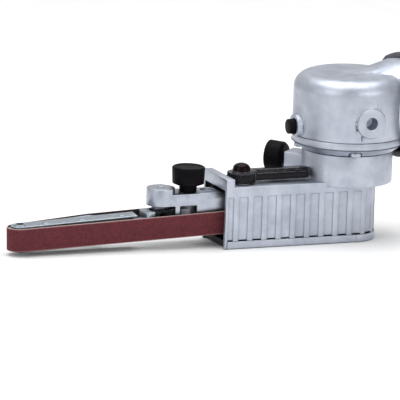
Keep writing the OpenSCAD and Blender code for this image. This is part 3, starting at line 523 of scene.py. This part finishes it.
def grit_on_resin():
    """Red brown and mottled, dry, with bright facets among dark resin and a worn paler edge."""
    material, tree, shader, place = start_finish("grit_on_resin", 0.0, 0.78, IOR=1.6)
    shader.inputs["Specular IOR Level"].default_value = 0.3
    grit = grain(tree, place, 0.55, 3.0, None, 0.7)
    clouds = grain(tree, place, 2.2, 3.0)
    faint = add(tree, "ShaderNodeMath", {0: clouds, 1: 0.25}, operation="MULTIPLY")
    blend = add(tree, "ShaderNodeMath", {0: grit, 1: 0.75, 2: faint.outputs[0]},
                operation="MULTIPLY_ADD")
    coat = shade_between(tree, shader, blend.outputs[0], "#370b13", "#69222c", (0.36, 0.64))
    across = add(tree, "ShaderNodeAttribute", attribute_name="across").outputs["Fac"]
    from_middle = add(tree, "ShaderNodeMath", {0: across}, operation="ABSOLUTE").outputs[0]
    ragged = add(tree, "ShaderNodeMath", {0: grit, 1: RAGGED, 2: from_middle},
                 operation="MULTIPLY_ADD").outputs[0]
    worn = add(tree, "ShaderNodeMapRange",
               {"Value": ragged, "From Min": BELT_WIDE / 2 - EDGE_WEAR,
                "From Max": BELT_WIDE / 2 + EDGE_FRAY, "To Min": 0.0, "To Max": 0.5})
    edged = add(tree, "ShaderNodeMix", {"Factor": worn.outputs["Result"], "A": coat,
                                        "B": linear("#b89a98")}, data_type="RGBA")
    tree.links.new(edged.outputs["Result"], shader.inputs["Base Color"])
    roughen(tree, shader, grit, 0.66, 0.88)
    emboss(tree, shader, grit, 0.14, 0.8)
    return material


def graphite_twill():
    """Back of the belt: black cloth with a diagonal weave. Graphite as its cause is a guess."""
    material, tree, shader, place = start_finish("graphite_twill", 0.0, 0.8, IOR=1.5)
    shader.inputs["Specular IOR Level"].default_value = 0.2
    tilted = add(tree, "ShaderNodeMapping",
                 {"Vector": place, "Rotation": (0.0, math.radians(38), 0.0)})
    weave = add(tree, "ShaderNodeTexWave",
                {"Vector": tilted.outputs["Vector"], "Scale": per(9.0),
                 "Distortion": 1.5, "Detail": 2.0}).outputs["Fac"]
    shade_between(tree, shader, weave, "#1d1a1c", "#352f31", (0.2, 0.8))
    roughen(tree, shader, weave, 0.7, 0.9)
    emboss(tree, shader, weave, 0.08, 0.6)
    return material


def cut_cloth_edge():
    """Where the belt was slit: short pale threads, a little pink from the resin."""
    material, tree, shader, place = start_finish("cut_cloth_edge", 0.0, 0.9, IOR=1.5)
    threads = grain(tree, place, 0.6, 3.0)
    shade_between(tree, shader, threads, "#a98c8a", "#dccac6", WIDE)
    roughen(tree, shader, threads, 0.85, 0.95)
    emboss(tree, shader, threads, 0.10, 0.8)
    return material


GRIT = grit_on_resin()
BACKING = graphite_twill()
CUT_EDGE = cut_cloth_edge()
print("finishes:", len(bpy.data.materials))

# %% [markdown]
# ## Soft edges
# CAD edges are knife sharp, and real ones never are: a mould has a radius and a tumbler rounds
# the rest. Each visible piece is copied from its CAD node, its doubled points are merged, its
# flat faces are joined up, and a Bevel modifier rounds every edge that turns sharply. The
# rounding can have a paler finish of its own, a painted highlight, as on the lever.


# %% Soft edges
SAME_POINT = 0.002 * MM
SAME_FLAT = math.radians(0.5)
SHARP_EDGE = math.radians(40)
KEEN_EDGE = math.radians(35)
BLUNT_EDGE = math.radians(50)


def finished_mesh(source):
    """A plain mesh of an object with its modifiers applied."""
    bpy.context.view_layer.update()
    graph = bpy.context.evaluated_depsgraph_get()
    return bpy.data.meshes.new_from_object(source.evaluated_get(graph), depsgraph=graph)


def piece_from(mesh, name, body, slot, *nodes):
    """One finished piece: it rides on a body and stands for CAD nodes. The slot is not used."""
    piece = bpy.data.objects.new(name, mesh)
    bpy.context.scene.collection.objects.link(piece)
    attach(piece, body)
    if nodes:
        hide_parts(*nodes)
    return piece


def merged_copy(node):
    """A CAD node's mesh with its doubled points merged and its flat faces joined up."""
    shape = bmesh.new()
    shape.from_mesh(frame["nodes"][node].data)
    bmesh.ops.remove_doubles(shape, verts=shape.verts, dist=SAME_POINT)
    bmesh.ops.dissolve_limit(shape, angle_limit=SAME_FLAT, verts=shape.verts, edges=shape.edges)
    return shape


def softened(node, body, slot, material, radius_mm, highlight_finish=None, steps=2, turn=32.0):
    """A copy of a CAD node with rounded edges, which can get a paler finish of their own: a painted
    highlight.
    """
    shape = merged_copy(node)
    mesh = bpy.data.meshes.new(node + "_soft")
    shape.to_mesh(mesh)
    shape.free()
    draft = bpy.data.objects.new(node + "_draft", mesh)
    bpy.context.scene.collection.objects.link(draft)
    bevel = draft.modifiers.new("edge", "BEVEL")
    bevel.width = radius_mm * MM
    bevel.segments = steps
    bevel.limit_method = "ANGLE"
    bevel.angle_limit = math.radians(turn)
    bevel.use_clamp_overlap = False
    bevel.miter_outer = "MITER_ARC"
    mesh.materials.clear()
    mesh.materials.append(material)
    # The rounded edges get the second finish, a painted highlight.
    if highlight_finish is not None:
        mesh.materials.append(highlight_finish)
        bevel.material = 1
    result = finished_mesh(draft)
    bpy.data.objects.remove(draft)
    result.shade_smooth()
    result.set_sharp_from_angle(angle=SHARP_EDGE)
    result.name = node + "_softened"
    return piece_from(result, node + "_soft", body, slot, node)


BODY_OF = {node: body for body, group in frame["record"]["behaviour"]["bodies"].items()
           for node in group}
# node: (record slot, finish, edge radius in mm, finish of the edges' painted highlight)
SOFT_EDGED = {
    "housing": ("cast_silver", CAST, 0.34),
    "base_cover": ("cast_silver", CAST, 0.40),
    "bearing_flange": ("cast_silver", CAST, 0.40),
    "gear_case": ("cast_silver", CAST, 0.60),
    "motor_ring": ("motor_plastic", NYLON, 0.70),
    "tension_slide": ("machined_alloy", MILLED, 0.30),
    "clamp_knob": ("black_knob", PHENOLIC, 0.16),
    "tracking_knob": ("black_knob", PHENOLIC, 0.16),
    # The lever's rounded edges get a paler enamel as a painted highlight.
    "release_lever": ("black_knob", ENAMEL, 0.30, ENAMEL_HIGHLIGHT),
    "lever_washer": ("ground_steel", GROUND, 0.10),
    "tracking_barrel": ("black_steel", PHOSPHATE, 0.30),
    "arm_bar": ("black_steel", OXIDE, 0.35),
    "arm_top_plate": ("zinc_steel", ZINC, 0.16),
    "arm_bottom_plate": ("black_steel", OXIDE, 0.16),
    "platen": ("zinc_steel", ZINC, 0.20),
    "idler_wheel": ("ground_steel", GROUND, 0.40),
    "drive_wheel": ("machined_alloy", MILLED, 0.30),
    "drive_tyre": ("tyre_rubber", TYRE, 0.40),
    "lock_button": ("black_knob", PHENOLIC, 0.40),
    "flange_screws": ("zinc_steel", ZINC, 0.22),
    "cover_screws": ("black_steel", OXIDE, 0.15),
}
for node, (slot, *rounding) in SOFT_EDGED.items():
    piece = softened(node, BODY_OF[node], slot, *rounding)
    print(f"{piece.name}: {len(piece.data.polygons)} faces")

# %% [markdown]
# ## Stand-ins on the arm bar
# Two stretches of the bar are painted to stand for other things. The pale one stands for a block
# between plate and hinge that isn't modelled. The grey one stands for the tracking barrel, which
# the bar's tail hides in the slide's window. Finish alone does this, and the shape stays the CAD's.


# %% Arm bar
def refinish_span(piece, start, end, finish):
    """Gives another finish to the faces of a piece between two positions along X."""
    mesh = piece.data
    mesh.materials.append(finish)
    slot = len(mesh.materials) - 1
    shape = bmesh.new()
    shape.from_mesh(mesh)
    for position in (start, end):
        everything = list(shape.verts) + list(shape.edges) + list(shape.faces)
        bmesh.ops.bisect_plane(shape, geom=everything, dist=1e-7,
                               plane_co=(position, 0.0, 0.0), plane_no=(1.0, 0.0, 0.0))
    changed = 0
    for face in shape.faces:
        if start < face.calc_center_median().x < end:
            face.material_index = slot
            changed += 1
    shape.to_mesh(mesh)
    shape.free()
    return changed


BLOCK_SPAN = (-0.5 * MM, 9.0 * MM)
BARREL_SPAN = (-1.5 * MM, 12.0 * MM)

arm_bar_piece = bpy.data.objects["arm_bar_soft"]
plate_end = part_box("arm_top_plate")[1].x
barrel_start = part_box("tracking_barrel")[0].x
pale = refinish_span(arm_bar_piece, *[plate_end + d for d in BLOCK_SPAN], ZINC)
grey = refinish_span(arm_bar_piece, *[barrel_start + d for d in BARREL_SPAN], PHOSPHATE)
print("arm bar:", pale, "pale faces,", grey, "grey faces")

# %% [markdown]
# ## Dark belt room
# The faces of the two castings that look into the belt room get a second material, which is
# nearly black.


# %% Faces of the belt room
FACES_FRONT = -0.9
FRONT_DEPTH = 1.0 * MM


def blacken_inside(name, half_width, low, high):
    """Gives the nearly black finish to the faces of a piece that lie inside the belt room."""
    mesh = bpy.data.objects[name].data
    mesh.materials.append(ROOM_BLACK)
    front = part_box("housing")[0].x
    count = 0
    for face in mesh.polygons:
        x, y, z = face.center
        reach = abs(y) if x < 0 else math.hypot(x, y)
        seen_from_outside = face.normal.x < FACES_FRONT and x < front + FRONT_DEPTH
        if reach < half_width and low < z < high and not seen_from_outside:
            face.material_index = 1
            count += 1
    print(f"{name}: {count} dusty faces")


WALL_SLACK = 0.4 * MM
LIP_SLACK = 0.2 * MM
COVER_FLOOR, COVER_RIM = 1.7 * MM, 6.0 * MM

_, room_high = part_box("guide_rails")
blacken_inside("housing_soft", room_high.y + WALL_SLACK, 0.0, room_high.z + WALL_SLACK)
blacken_inside("base_cover_soft", room_high.y - LIP_SLACK, COVER_FLOOR, COVER_RIM)

# %% [markdown]
# ## Springs
# A coil spring is one wire wound on a helix, with a dead coil at each end that lies flat.
# Geometry Nodes wind it: a spiral, squeezed near both ends, then a round wire swept along it.
# One tree makes all three springs, and only its named inputs differ.


# %% Spring tree
DEAD_COIL = 0.85
STEPS_PER_TURN = 28
WIRE_SIDES = 12


def new_tree(name, *sockets):
    """A geometry tree with named inputs: the tree, its inputs and its output node."""
    tree = bpy.data.node_groups.new(name, "GeometryNodeTree")
    tree.interface.new_socket("Geometry", in_out="OUTPUT", socket_type="NodeSocketGeometry")
    tree.interface.new_socket("Geometry", in_out="INPUT", socket_type="NodeSocketGeometry")
    for label, kind in sockets:
        tree.interface.new_socket(label, in_out="INPUT", socket_type="NodeSocket" + kind)
    return tree, add(tree, "NodeGroupInput").outputs, add(tree, "NodeGroupOutput")


def run_tree(tree, mesh, **values):
    """Runs a tree on a mesh and returns the plain mesh that it makes."""
    draft = bpy.data.objects.new("tree_draft", mesh)
    bpy.context.scene.collection.objects.link(draft)
    modifier = draft.modifiers.new("tree", "NODES")
    modifier.node_group = tree
    for item in tree.interface.items_tree:
        if item.in_out == "INPUT" and item.name.replace(" ", "_") in values:
            modifier[item.identifier] = values[item.name.replace(" ", "_")]
    result = finished_mesh(draft)
    draft.modifiers.remove(modifier)
    bpy.data.objects.remove(draft)
    return result


def spring_tree():
    """Winds a wire on a helix along +Z, with a flat dead coil at both ends."""
    tree, given, output = new_tree("wind_spring", ("Coil radius", "Float"),
                                   ("Wire radius", "Float"), ("Height", "Float"),
                                   ("Turns", "Float"), ("Finish", "Material"))
    helix = add(tree, "GeometryNodeCurveSpiral",
                {"Resolution": STEPS_PER_TURN, "Rotations": given["Turns"],
                 "Start Radius": given["Coil radius"],
                 "End Radius": given["Coil radius"], "Height": 0.0})
    share = add(tree, "GeometryNodeSplineParameter").outputs["Factor"]
    dead = add(tree, "ShaderNodeMath", {0: DEAD_COIL, 1: given["Turns"]},
               operation="DIVIDE").outputs[0]
    rest = add(tree, "ShaderNodeMath", {0: 1.0, 1: dead}, operation="SUBTRACT").outputs[0]
    top = add(tree, "ShaderNodeMath", {0: given["Height"], 1: given["Wire radius"]},
              operation="SUBTRACT").outputs[0]
    climb = add(tree, "ShaderNodeMapRange", {"Value": share, "From Min": dead, "From Max": rest,
                                             "To Min": given["Wire radius"], "To Max": top})
    lift = add(tree, "ShaderNodeCombineXYZ", {"Z": climb.outputs["Result"]})
    raised = add(tree, "GeometryNodeSetPosition", {"Geometry": helix.outputs["Curve"],
                                                   "Offset": lift.outputs["Vector"]})
    wire = add(tree, "GeometryNodeCurvePrimitiveCircle",
               {"Resolution": WIRE_SIDES, "Radius": given["Wire radius"]})
    swept = add(tree, "GeometryNodeCurveToMesh", {"Curve": raised.outputs["Geometry"],
                                                  "Profile Curve": wire.outputs["Curve"],
                                                  "Fill Caps": True})
    whole = add(tree, "GeometryNodeRealizeInstances", {"Geometry": swept.outputs["Mesh"]})
    coated = add(tree, "GeometryNodeSetMaterial", {"Geometry": whole.outputs["Geometry"],
                                                   "Material": given["Finish"]})
    tree.links.new(coated.outputs["Geometry"], output.inputs[0])
    return tree


SPRING = spring_tree()


def wound_spring(node, axis, turns, wire_mm):
    """Winds a spring in the space of its CAD node, along an axis given as 0, 1 or 2."""
    low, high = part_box(node)
    size = high - low
    wide = max(size[i] for i in range(3) if i != axis)
    wire_radius = wire_mm * MM / 2
    mesh = run_tree(SPRING, bpy.data.meshes.new("empty"), Coil_radius=wide / 2 - wire_radius,
                    Wire_radius=wire_radius, Height=size[axis], Turns=turns, Finish=WIRE)
    foot = (low + high) / 2
    foot[axis] = low[axis]
    turn = Matrix.Rotation(math.radians(90), 4, "Y") if axis == 0 else Matrix.Identity(4)
    mesh.transform(Matrix.Translation(foot) @ turn)
    mesh.shade_smooth()
    piece = piece_from(mesh, node + "_wound", BODY_OF[node], "spring_steel", node)
    print(f"{piece.name}: {turns} turns of {wire_mm} mm wire")


wound_spring("tension_spring", axis=0, turns=9.0, wire_mm=1.1)
wound_spring("tracking_spring", axis=2, turns=5.0, wire_mm=0.6)
wound_spring("lock_spring", axis=0, turns=3.0, wire_mm=0.6)

# %% [markdown]
# ## The belt
# The loop runs round the drive wheel, over the platen's heel and round the idler. Its middle
# line is made of the straight lines that touch two wheels and of the arcs between them. Geometry
# Nodes sweep a thin section along that line. The section's outer side gets the grit, its inner
# side the blackened cloth and its two ends the cut threads.

# %% The belt's path
BELT_GAP = 0.35 * MM
BELT_THICK = 0.9 * MM
# The heel's place is measured in the plane of the belt, from the drive wheel's axis.
HEEL = Vector((-151.2 * MM, 10.9 * MM))
HEEL_RADIUS = 2.0 * MM
ARC_STEP = math.radians(4)

drive_low, drive_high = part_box("drive_tyre")
idler_low, idler_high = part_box("idler_wheel")
drive_centre = (drive_low + drive_high) / 2
idler_centre = (idler_low + idler_high) / 2
drive_radius = (drive_high.y - drive_low.y) / 2
idler_radius = (idler_high.y - idler_low.y) / 2
pitch = math.atan2(drive_centre.z - idler_centre.z, drive_centre.x - idler_centre.x)
span = (drive_centre - idler_centre).length


def loop_points(rollers, step):
    """Points of the line round several rollers, anticlockwise, with arcs cut finely."""
    legs = []
    for i, (centre, radius) in enumerate(rollers):
        after, after_radius = rollers[(i + 1) % len(rollers)]
        run = after - centre
        lean = math.acos((radius - after_radius) / run.length)
        legs.append(math.atan2(run.y, run.x) - lean)
    points = []
    for i, (centre, radius) in enumerate(rollers):
        begin, end = legs[i - 1], legs[i]
        while end < begin:
            end += 2 * math.pi
        count = max(2, round((end - begin) / step))
        for k in range(count + 1):
            turn = begin + (end - begin) * k / count
            points.append(centre + radius * Vector((math.cos(turn), math.sin(turn))))
    return points


middle = BELT_GAP + BELT_THICK / 2
path = loop_points([(Vector((0, 0)), drive_radius + middle), (HEEL, HEEL_RADIUS + middle),
                    (Vector((-span, 0)), idler_radius + middle)], ARC_STEP)
length = sum((path[i] - path[i - 1]).length for i in range(len(path)))
print(f"loop {length / MM:.1f} mm, {len(path)} points, pitch {math.degrees(pitch):.2f} degrees")


# %% The belt's sweep
CORNER_SHARE = 0.22
FACE_SHARE = 0.35


def belt_tree():
    """Sweeps a thin section along a closed path: grit outside, cloth inside, cut edges."""
    tree, given, output = new_tree("sweep_belt", ("Thickness", "Float"), ("Width", "Float"),
                                   ("Grit", "Material"), ("Backing", "Material"),
                                   ("Cut edge", "Material"))
    line = add(tree, "GeometryNodeMeshToCurve", {"Mesh": given["Geometry"]})
    upright = add(tree, "GeometryNodeSetCurveNormal", {"Curve": line.outputs["Curve"]}, mode="Z_UP")
    section = add(tree, "GeometryNodeCurvePrimitiveQuadrilateral",
                  {"Width": given["Thickness"], "Height": given["Width"]})
    corner = add(tree, "ShaderNodeMath", {0: given["Thickness"], 1: CORNER_SHARE},
                 operation="MULTIPLY")
    rounded = add(tree, "GeometryNodeFilletCurve",
                  {"Curve": section.outputs["Curve"], "Radius": corner.outputs[0], "Count": 2},
                  mode="POLY")
    where = add(tree, "GeometryNodeInputPosition").outputs["Position"]
    parts = add(tree, "ShaderNodeSeparateXYZ", {"Vector": where})
    marked = add(tree, "GeometryNodeCaptureAttribute", {"Geometry": rounded.outputs["Curve"]})
    marked.capture_items.new("FLOAT", "out")
    marked.capture_items.new("FLOAT", "across")
    tree.links.new(parts.outputs["X"], marked.inputs["out"])
    tree.links.new(parts.outputs["Y"], marked.inputs["across"])
    swept = add(tree, "GeometryNodeCurveToMesh", {"Curve": upright.outputs["Curve"],
                                                  "Profile Curve": marked.outputs["Geometry"]})
    noted = add(tree, "GeometryNodeStoreNamedAttribute",
                {"Geometry": swept.outputs["Mesh"], "Name": "across",
                 "Value": marked.outputs["across"]}, data_type="FLOAT", domain="POINT")
    outer = add(tree, "ShaderNodeMath", {0: given["Thickness"], 1: FACE_SHARE},
                operation="MULTIPLY")
    inner = add(tree, "ShaderNodeMath", {0: given["Thickness"], 1: -FACE_SHARE},
                operation="MULTIPLY")
    is_grit = add(tree, "FunctionNodeCompare", {0: marked.outputs["out"], 1: outer.outputs[0]},
                  data_type="FLOAT", operation="GREATER_THAN")
    is_back = add(tree, "FunctionNodeCompare", {0: marked.outputs["out"], 1: inner.outputs[0]},
                  data_type="FLOAT", operation="LESS_THAN")
    whole = add(tree, "GeometryNodeRealizeInstances", {"Geometry": noted.outputs["Geometry"]})
    edge = add(tree, "GeometryNodeSetMaterial", {"Geometry": whole.outputs["Geometry"],
                                                 "Material": given["Cut edge"]})
    back = add(tree, "GeometryNodeSetMaterial", {"Geometry": edge.outputs["Geometry"],
                                                 "Selection": is_back.outputs["Result"],
                                                 "Material": given["Backing"]})
    grit = add(tree, "GeometryNodeSetMaterial", {"Geometry": back.outputs["Geometry"],
                                                 "Selection": is_grit.outputs["Result"],
                                                 "Material": given["Grit"]})
    tree.links.new(grit.outputs["Geometry"], output.inputs[0])
    return tree


line = bpy.data.meshes.new("belt_line")
line.from_pydata([(p.x, p.y, 0.0) for p in path],
                 [(i, (i + 1) % len(path)) for i in range(len(path))], [])
belt_mesh = run_tree(belt_tree(), line, Thickness=BELT_THICK, Width=BELT_WIDE, Grit=GRIT,
                     Backing=BACKING, Cut_edge=CUT_EDGE)
BELT_PLANE = Matrix.Translation(drive_centre) @ Matrix.Rotation(-pitch, 4, "Y")
belt_mesh.transform(BELT_PLANE)
belt_mesh.shade_smooth()
belt_mesh.set_sharp_from_angle(angle=BLUNT_EDGE)
piece_from(belt_mesh, "sanding_belt_swept", "housing", "abrasive", "sanding_belt")
print("belt faces:", len(belt_mesh.polygons), [m.name for m in belt_mesh.materials])

# %% [markdown]
# ## Tools for turned pieces
# Rivets, pins and nuts are turned on a lathe, so a profile spun about an axis gives their shape.
# A piece that repeats is placed by the CAD: the places are the middles of the node's separate
# solids, so that a rivet can't drift from its hole.


# %% Places and profiles
def solid_boxes(node):
    """The lowest and highest corner of each separate solid of a CAD node."""
    shape = merged_copy(node)
    left = set(shape.verts)
    boxes = []
    while left:
        group, queue = [], [left.pop()]
        while queue:
            vert = queue.pop()
            group.append(vert.co.copy())
            for edge in vert.link_edges:
                other = edge.other_vert(vert)
                if other in left:
                    left.remove(other)
                    queue.append(other)
        low = Vector([min(c[i] for c in group) for i in range(3)])
        high = Vector([max(c[i] for c in group) for i in range(3)])
        boxes.append((low, high))
    shape.free()
    return sorted(boxes, key=lambda b: tuple(b[0]))


def lathe(profile, sides):
    """A turned shape about Z from (radius, height) pairs in millimetres, closed at both ends."""
    shape = bmesh.new()
    rings = []
    turns = [2 * math.pi * i / sides for i in range(sides)]
    for radius, height in profile:
        rings.append([shape.verts.new((radius * MM * math.cos(turn),
                                       radius * MM * math.sin(turn), height * MM))
                      for turn in turns])
    for low, high in zip(rings, rings[1:]):
        for i in range(sides):
            shape.faces.new((low[i], low[(i + 1) % sides], high[(i + 1) % sides], high[i]))
    shape.faces.new(rings[0][::-1])
    shape.faces.new(rings[-1])
    bmesh.ops.recalc_face_normals(shape, faces=shape.faces)
    mesh = bpy.data.meshes.new("turned")
    shape.to_mesh(mesh)
    shape.free()
    return mesh


print("rivets in the CAD:", len(solid_boxes("arm_rivets")))

# %% [markdown]
# ## Rivets of the arm
# The plates of the arm are held by flush rivets. One rivet is turned, and Geometry Nodes set it
# on a point at the middle of each rivet in the CAD. All of them then lean as the arm leans.


# %% Rivets
def set_out_tree():
    """Sets one shape on every point of a mesh."""
    tree, given, output = new_tree("set_on_points", ("Shape", "Object"), ("Finish", "Material"))
    shape = add(tree, "GeometryNodeObjectInfo", {"Object": given["Shape"]})
    points = add(tree, "GeometryNodeMeshToPoints", {"Mesh": given["Geometry"]})
    placed = add(tree, "GeometryNodeInstanceOnPoints", {"Points": points.outputs["Points"],
                                                        "Instance": shape.outputs["Geometry"]})
    whole = add(tree, "GeometryNodeRealizeInstances", {"Geometry": placed.outputs["Instances"]})
    coated = add(tree, "GeometryNodeSetMaterial", {"Geometry": whole.outputs["Geometry"],
                                                   "Material": given["Finish"]})
    tree.links.new(coated.outputs["Geometry"], output.inputs[0])
    return tree


PLATE_OUT = 0.8
RIVET_SIDES = 24

reach = BELT_WIDE / 2 / MM + PLATE_OUT
# (radius, height over the arm's middle) in mm, from the shank to the top of the head
half_rivet = [(1.5, 0.0), (1.5, reach), (2.0, reach), (1.8, reach + 0.22), (0.05, reach + 0.3)]
rivet_profile = [(r, -z) for r, z in half_rivet[::-1]] + half_rivet[1:]
rivet = bpy.data.objects.new("one_rivet", lathe(rivet_profile, RIVET_SIDES))
bpy.context.scene.collection.objects.link(rivet)
level = BELT_PLANE.inverted()
rivet_spots = [level @ ((low + high) / 2) for low, high in solid_boxes("arm_rivets")]
spots = bpy.data.meshes.new("rivet_spots")
spots.from_pydata([tuple(p) for p in rivet_spots], [], [])
rivets = run_tree(set_out_tree(), spots, Shape=rivet, Finish=ZINC)
bpy.data.objects.remove(rivet)
rivets.transform(BELT_PLANE)
rivets.shade_smooth()
rivets.set_sharp_from_angle(angle=KEEN_EDGE)
piece_from(rivets, "arm_rivets_flush", "arm", "zinc_steel", "arm_rivets")
print(len(rivet_spots), "rivets, reach", round(reach, 2), "mm")

# %% [markdown]
# ## Idler pin
# The idler turns on a hollow pin whose ends are rolled over, so that it shows as a bright ring
# with a dark middle. It is turned from one profile, and the faces inside its bore get black oxide:
# painted shade. Its rim is 0.9 mm wider in radius than the CAD pin's, and the CAD pin has solid
# ends.

# %% Hollow pin
BORE_EDGE = 2.1 * MM
PIN_SIDES = 32

# (radius, height over the arm's middle) in mm, from the bottom of the bore to the shank
half_pin = [(1.0, reach - 1.2), (1.9, reach + 0.2), (2.2, reach + 0.62), (2.6, reach + 0.72),
            (3.1, reach + 0.6), (3.4, reach + 0.2), (3.4, reach), (1.95, reach - 0.05)]
pin_profile = [(r, -z) for r, z in half_pin] + half_pin[::-1]
pin_mesh = lathe(pin_profile, PIN_SIDES)
pin_mesh.materials.append(ZINC)
pin_mesh.materials.append(OXIDE)
# Faces inside the bore get black oxide as painted shade of the bore.
for face in pin_mesh.polygons:
    if math.hypot(face.center.x, face.center.y) < BORE_EDGE:
        face.material_index = 1
pin_mesh.transform(BELT_PLANE @ Matrix.Translation((-span, 0.0, 0.0)))
pin_mesh.shade_smooth()
pin_mesh.set_sharp_from_angle(angle=KEEN_EDGE)
piece_from(pin_mesh, "idler_pin_rolled", "arm", "zinc_steel", "idler_pin")
print("pin:", len(pin_mesh.polygons), "faces, top at", round(max(z for _, z in half_pin), 2), "mm")

# %% [markdown]
# ## Dome nut
# The nut on the lever's pivot has a low round cap, so that it can't scratch a hand. It is turned
# from a profile: a short skirt, a small step and a quarter of a flattened ball. It is wider in Y
# and 1.3 mm lower than the CAD nut, so measure from the CAD.

# %% Dome nut
SKIRT_TALL = 0.9
STEP_TALL = 1.3
STEP_IN = 0.2
LOWER_BY = 2.2
NUT_SIDES = 48
DOME_STEP = 6

nut_low, nut_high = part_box("lever_dome_nut")
nut_radius = (nut_high.x - nut_low.x) / 2 / MM
nut_tall = (nut_high.z - nut_low.z) / MM
skirt = 0.98 * nut_radius
dome = skirt - STEP_IN
dome_tall = nut_tall - LOWER_BY - 2 * STEP_IN
profile = [(0.4 * nut_radius, 0.0), (skirt, 0.0), (skirt, SKIRT_TALL),
           (dome, SKIRT_TALL + STEP_IN), (dome, STEP_TALL)]
for degrees in range(DOME_STEP, 88, DOME_STEP):
    turn = math.radians(degrees)
    profile.append((dome * math.cos(turn), STEP_TALL + dome_tall * math.sin(turn)))
profile.append((0.05, STEP_TALL + dome_tall))
dome_mesh = lathe(profile, NUT_SIDES)
middle_of_nut = (nut_low + nut_high) / 2
dome_mesh.transform(Matrix.Translation((middle_of_nut.x, middle_of_nut.y, nut_low.z)))
dome_mesh.materials.append(NICKEL)
dome_mesh.shade_smooth()
dome_mesh.set_sharp_from_angle(angle=BLUNT_EDGE)
piece_from(dome_mesh, "dome_nut_turned", "lever", "dome_nut", "lever_dome_nut")
print(f"dome nut {2 * nut_radius:.1f} mm wide, {STEP_TALL + dome_tall:.1f} mm tall")

# %% [markdown]
# ## The nodes that stay
# What a reader sees only through a gap, or never, keeps its CAD shape and gets the finish of the
# real piece. A finish is assigned to the material slots of the node's own mesh.

# %% Finishes of the CAD nodes
FINISH_OF = {
    "clamp_stud": GROUND, "clamp_pad": BRONZE, "guide_rails": SLIDEWAY,
    "rail_screws": OXIDE, "lever_pivot": GROUND, "lever_crank": GROUND, "slide_rod": GROUND,
    # The hinge pin's end sits in a small hole in the slide's nose; black enamel makes it dark as
    # painted shade of that hole.
    "rod_nut": OXIDE, "tracking_stud": GROUND, "tracking_nut": OXIDE, "arm_hinge_pin": ENAMEL,
    "idler_bushing": BRONZE, "spindle": GROUND,
    "crown_gear": GEAR, "lower_bearing": BEARING, "bearing_circlip": OXIDE, "dust_seal": SEAL,
    "upper_bearing": BEARING, "pinion": GEAR, "pinion_shaft": GROUND,
    "pinion_bearing": BEARING,
}
for node, finish in FINISH_OF.items():
    mesh = frame["nodes"][node].data
    mesh.materials.clear()
    mesh.materials.append(finish)
print(len(FINISH_OF), "nodes finished")

# %% [markdown]
# ## Bench top
# A plain pale sheet carries the tool. It runs far past the frame on every side, so that no edge
# or corner of it shows.


# %% Bench top
def pale_bench():
    """White matt laminate."""
    material, tree, shader, place = start_finish("pale_bench", 0.0, 0.6, IOR=1.45)
    shade_between(tree, shader, grain(tree, place, 60.0, 2.0), "#f4f4f4", "#f8f8f8")
    return material


BENCH_HALF = 6.0
BENCH_TOP = -0.2 * MM
CORNERS = ((-1, -1), (1, -1), (1, 1), (-1, 1))

bench_mesh = bpy.data.meshes.new("bench")
bench_mesh.from_pydata([(x * BENCH_HALF, y * BENCH_HALF, BENCH_TOP) for x, y in CORNERS], [],
                       [(0, 1, 2, 3)])
bench_mesh.materials.append(pale_bench())
bench = bpy.data.objects.new("bench", bench_mesh)
bpy.context.scene.collection.objects.link(bench)
bench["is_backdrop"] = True
print("bench laid")

# %% [markdown]
# The dressed model must fill the same box as the CAD model. The largest difference between
# the two boxes is printed.

shown_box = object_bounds()
sizes = {"cad": [[float(c) for c in corner] for corner in cad_box],
         "visual": [[float(c) for c in corner] for corner in shown_box]}
gaps = [abs(a - b) / MM for p, q in zip(sizes["cad"], sizes["visual"]) for a, b in zip(p, q)]
print("largest difference in mm:", round(max(gaps), 3))
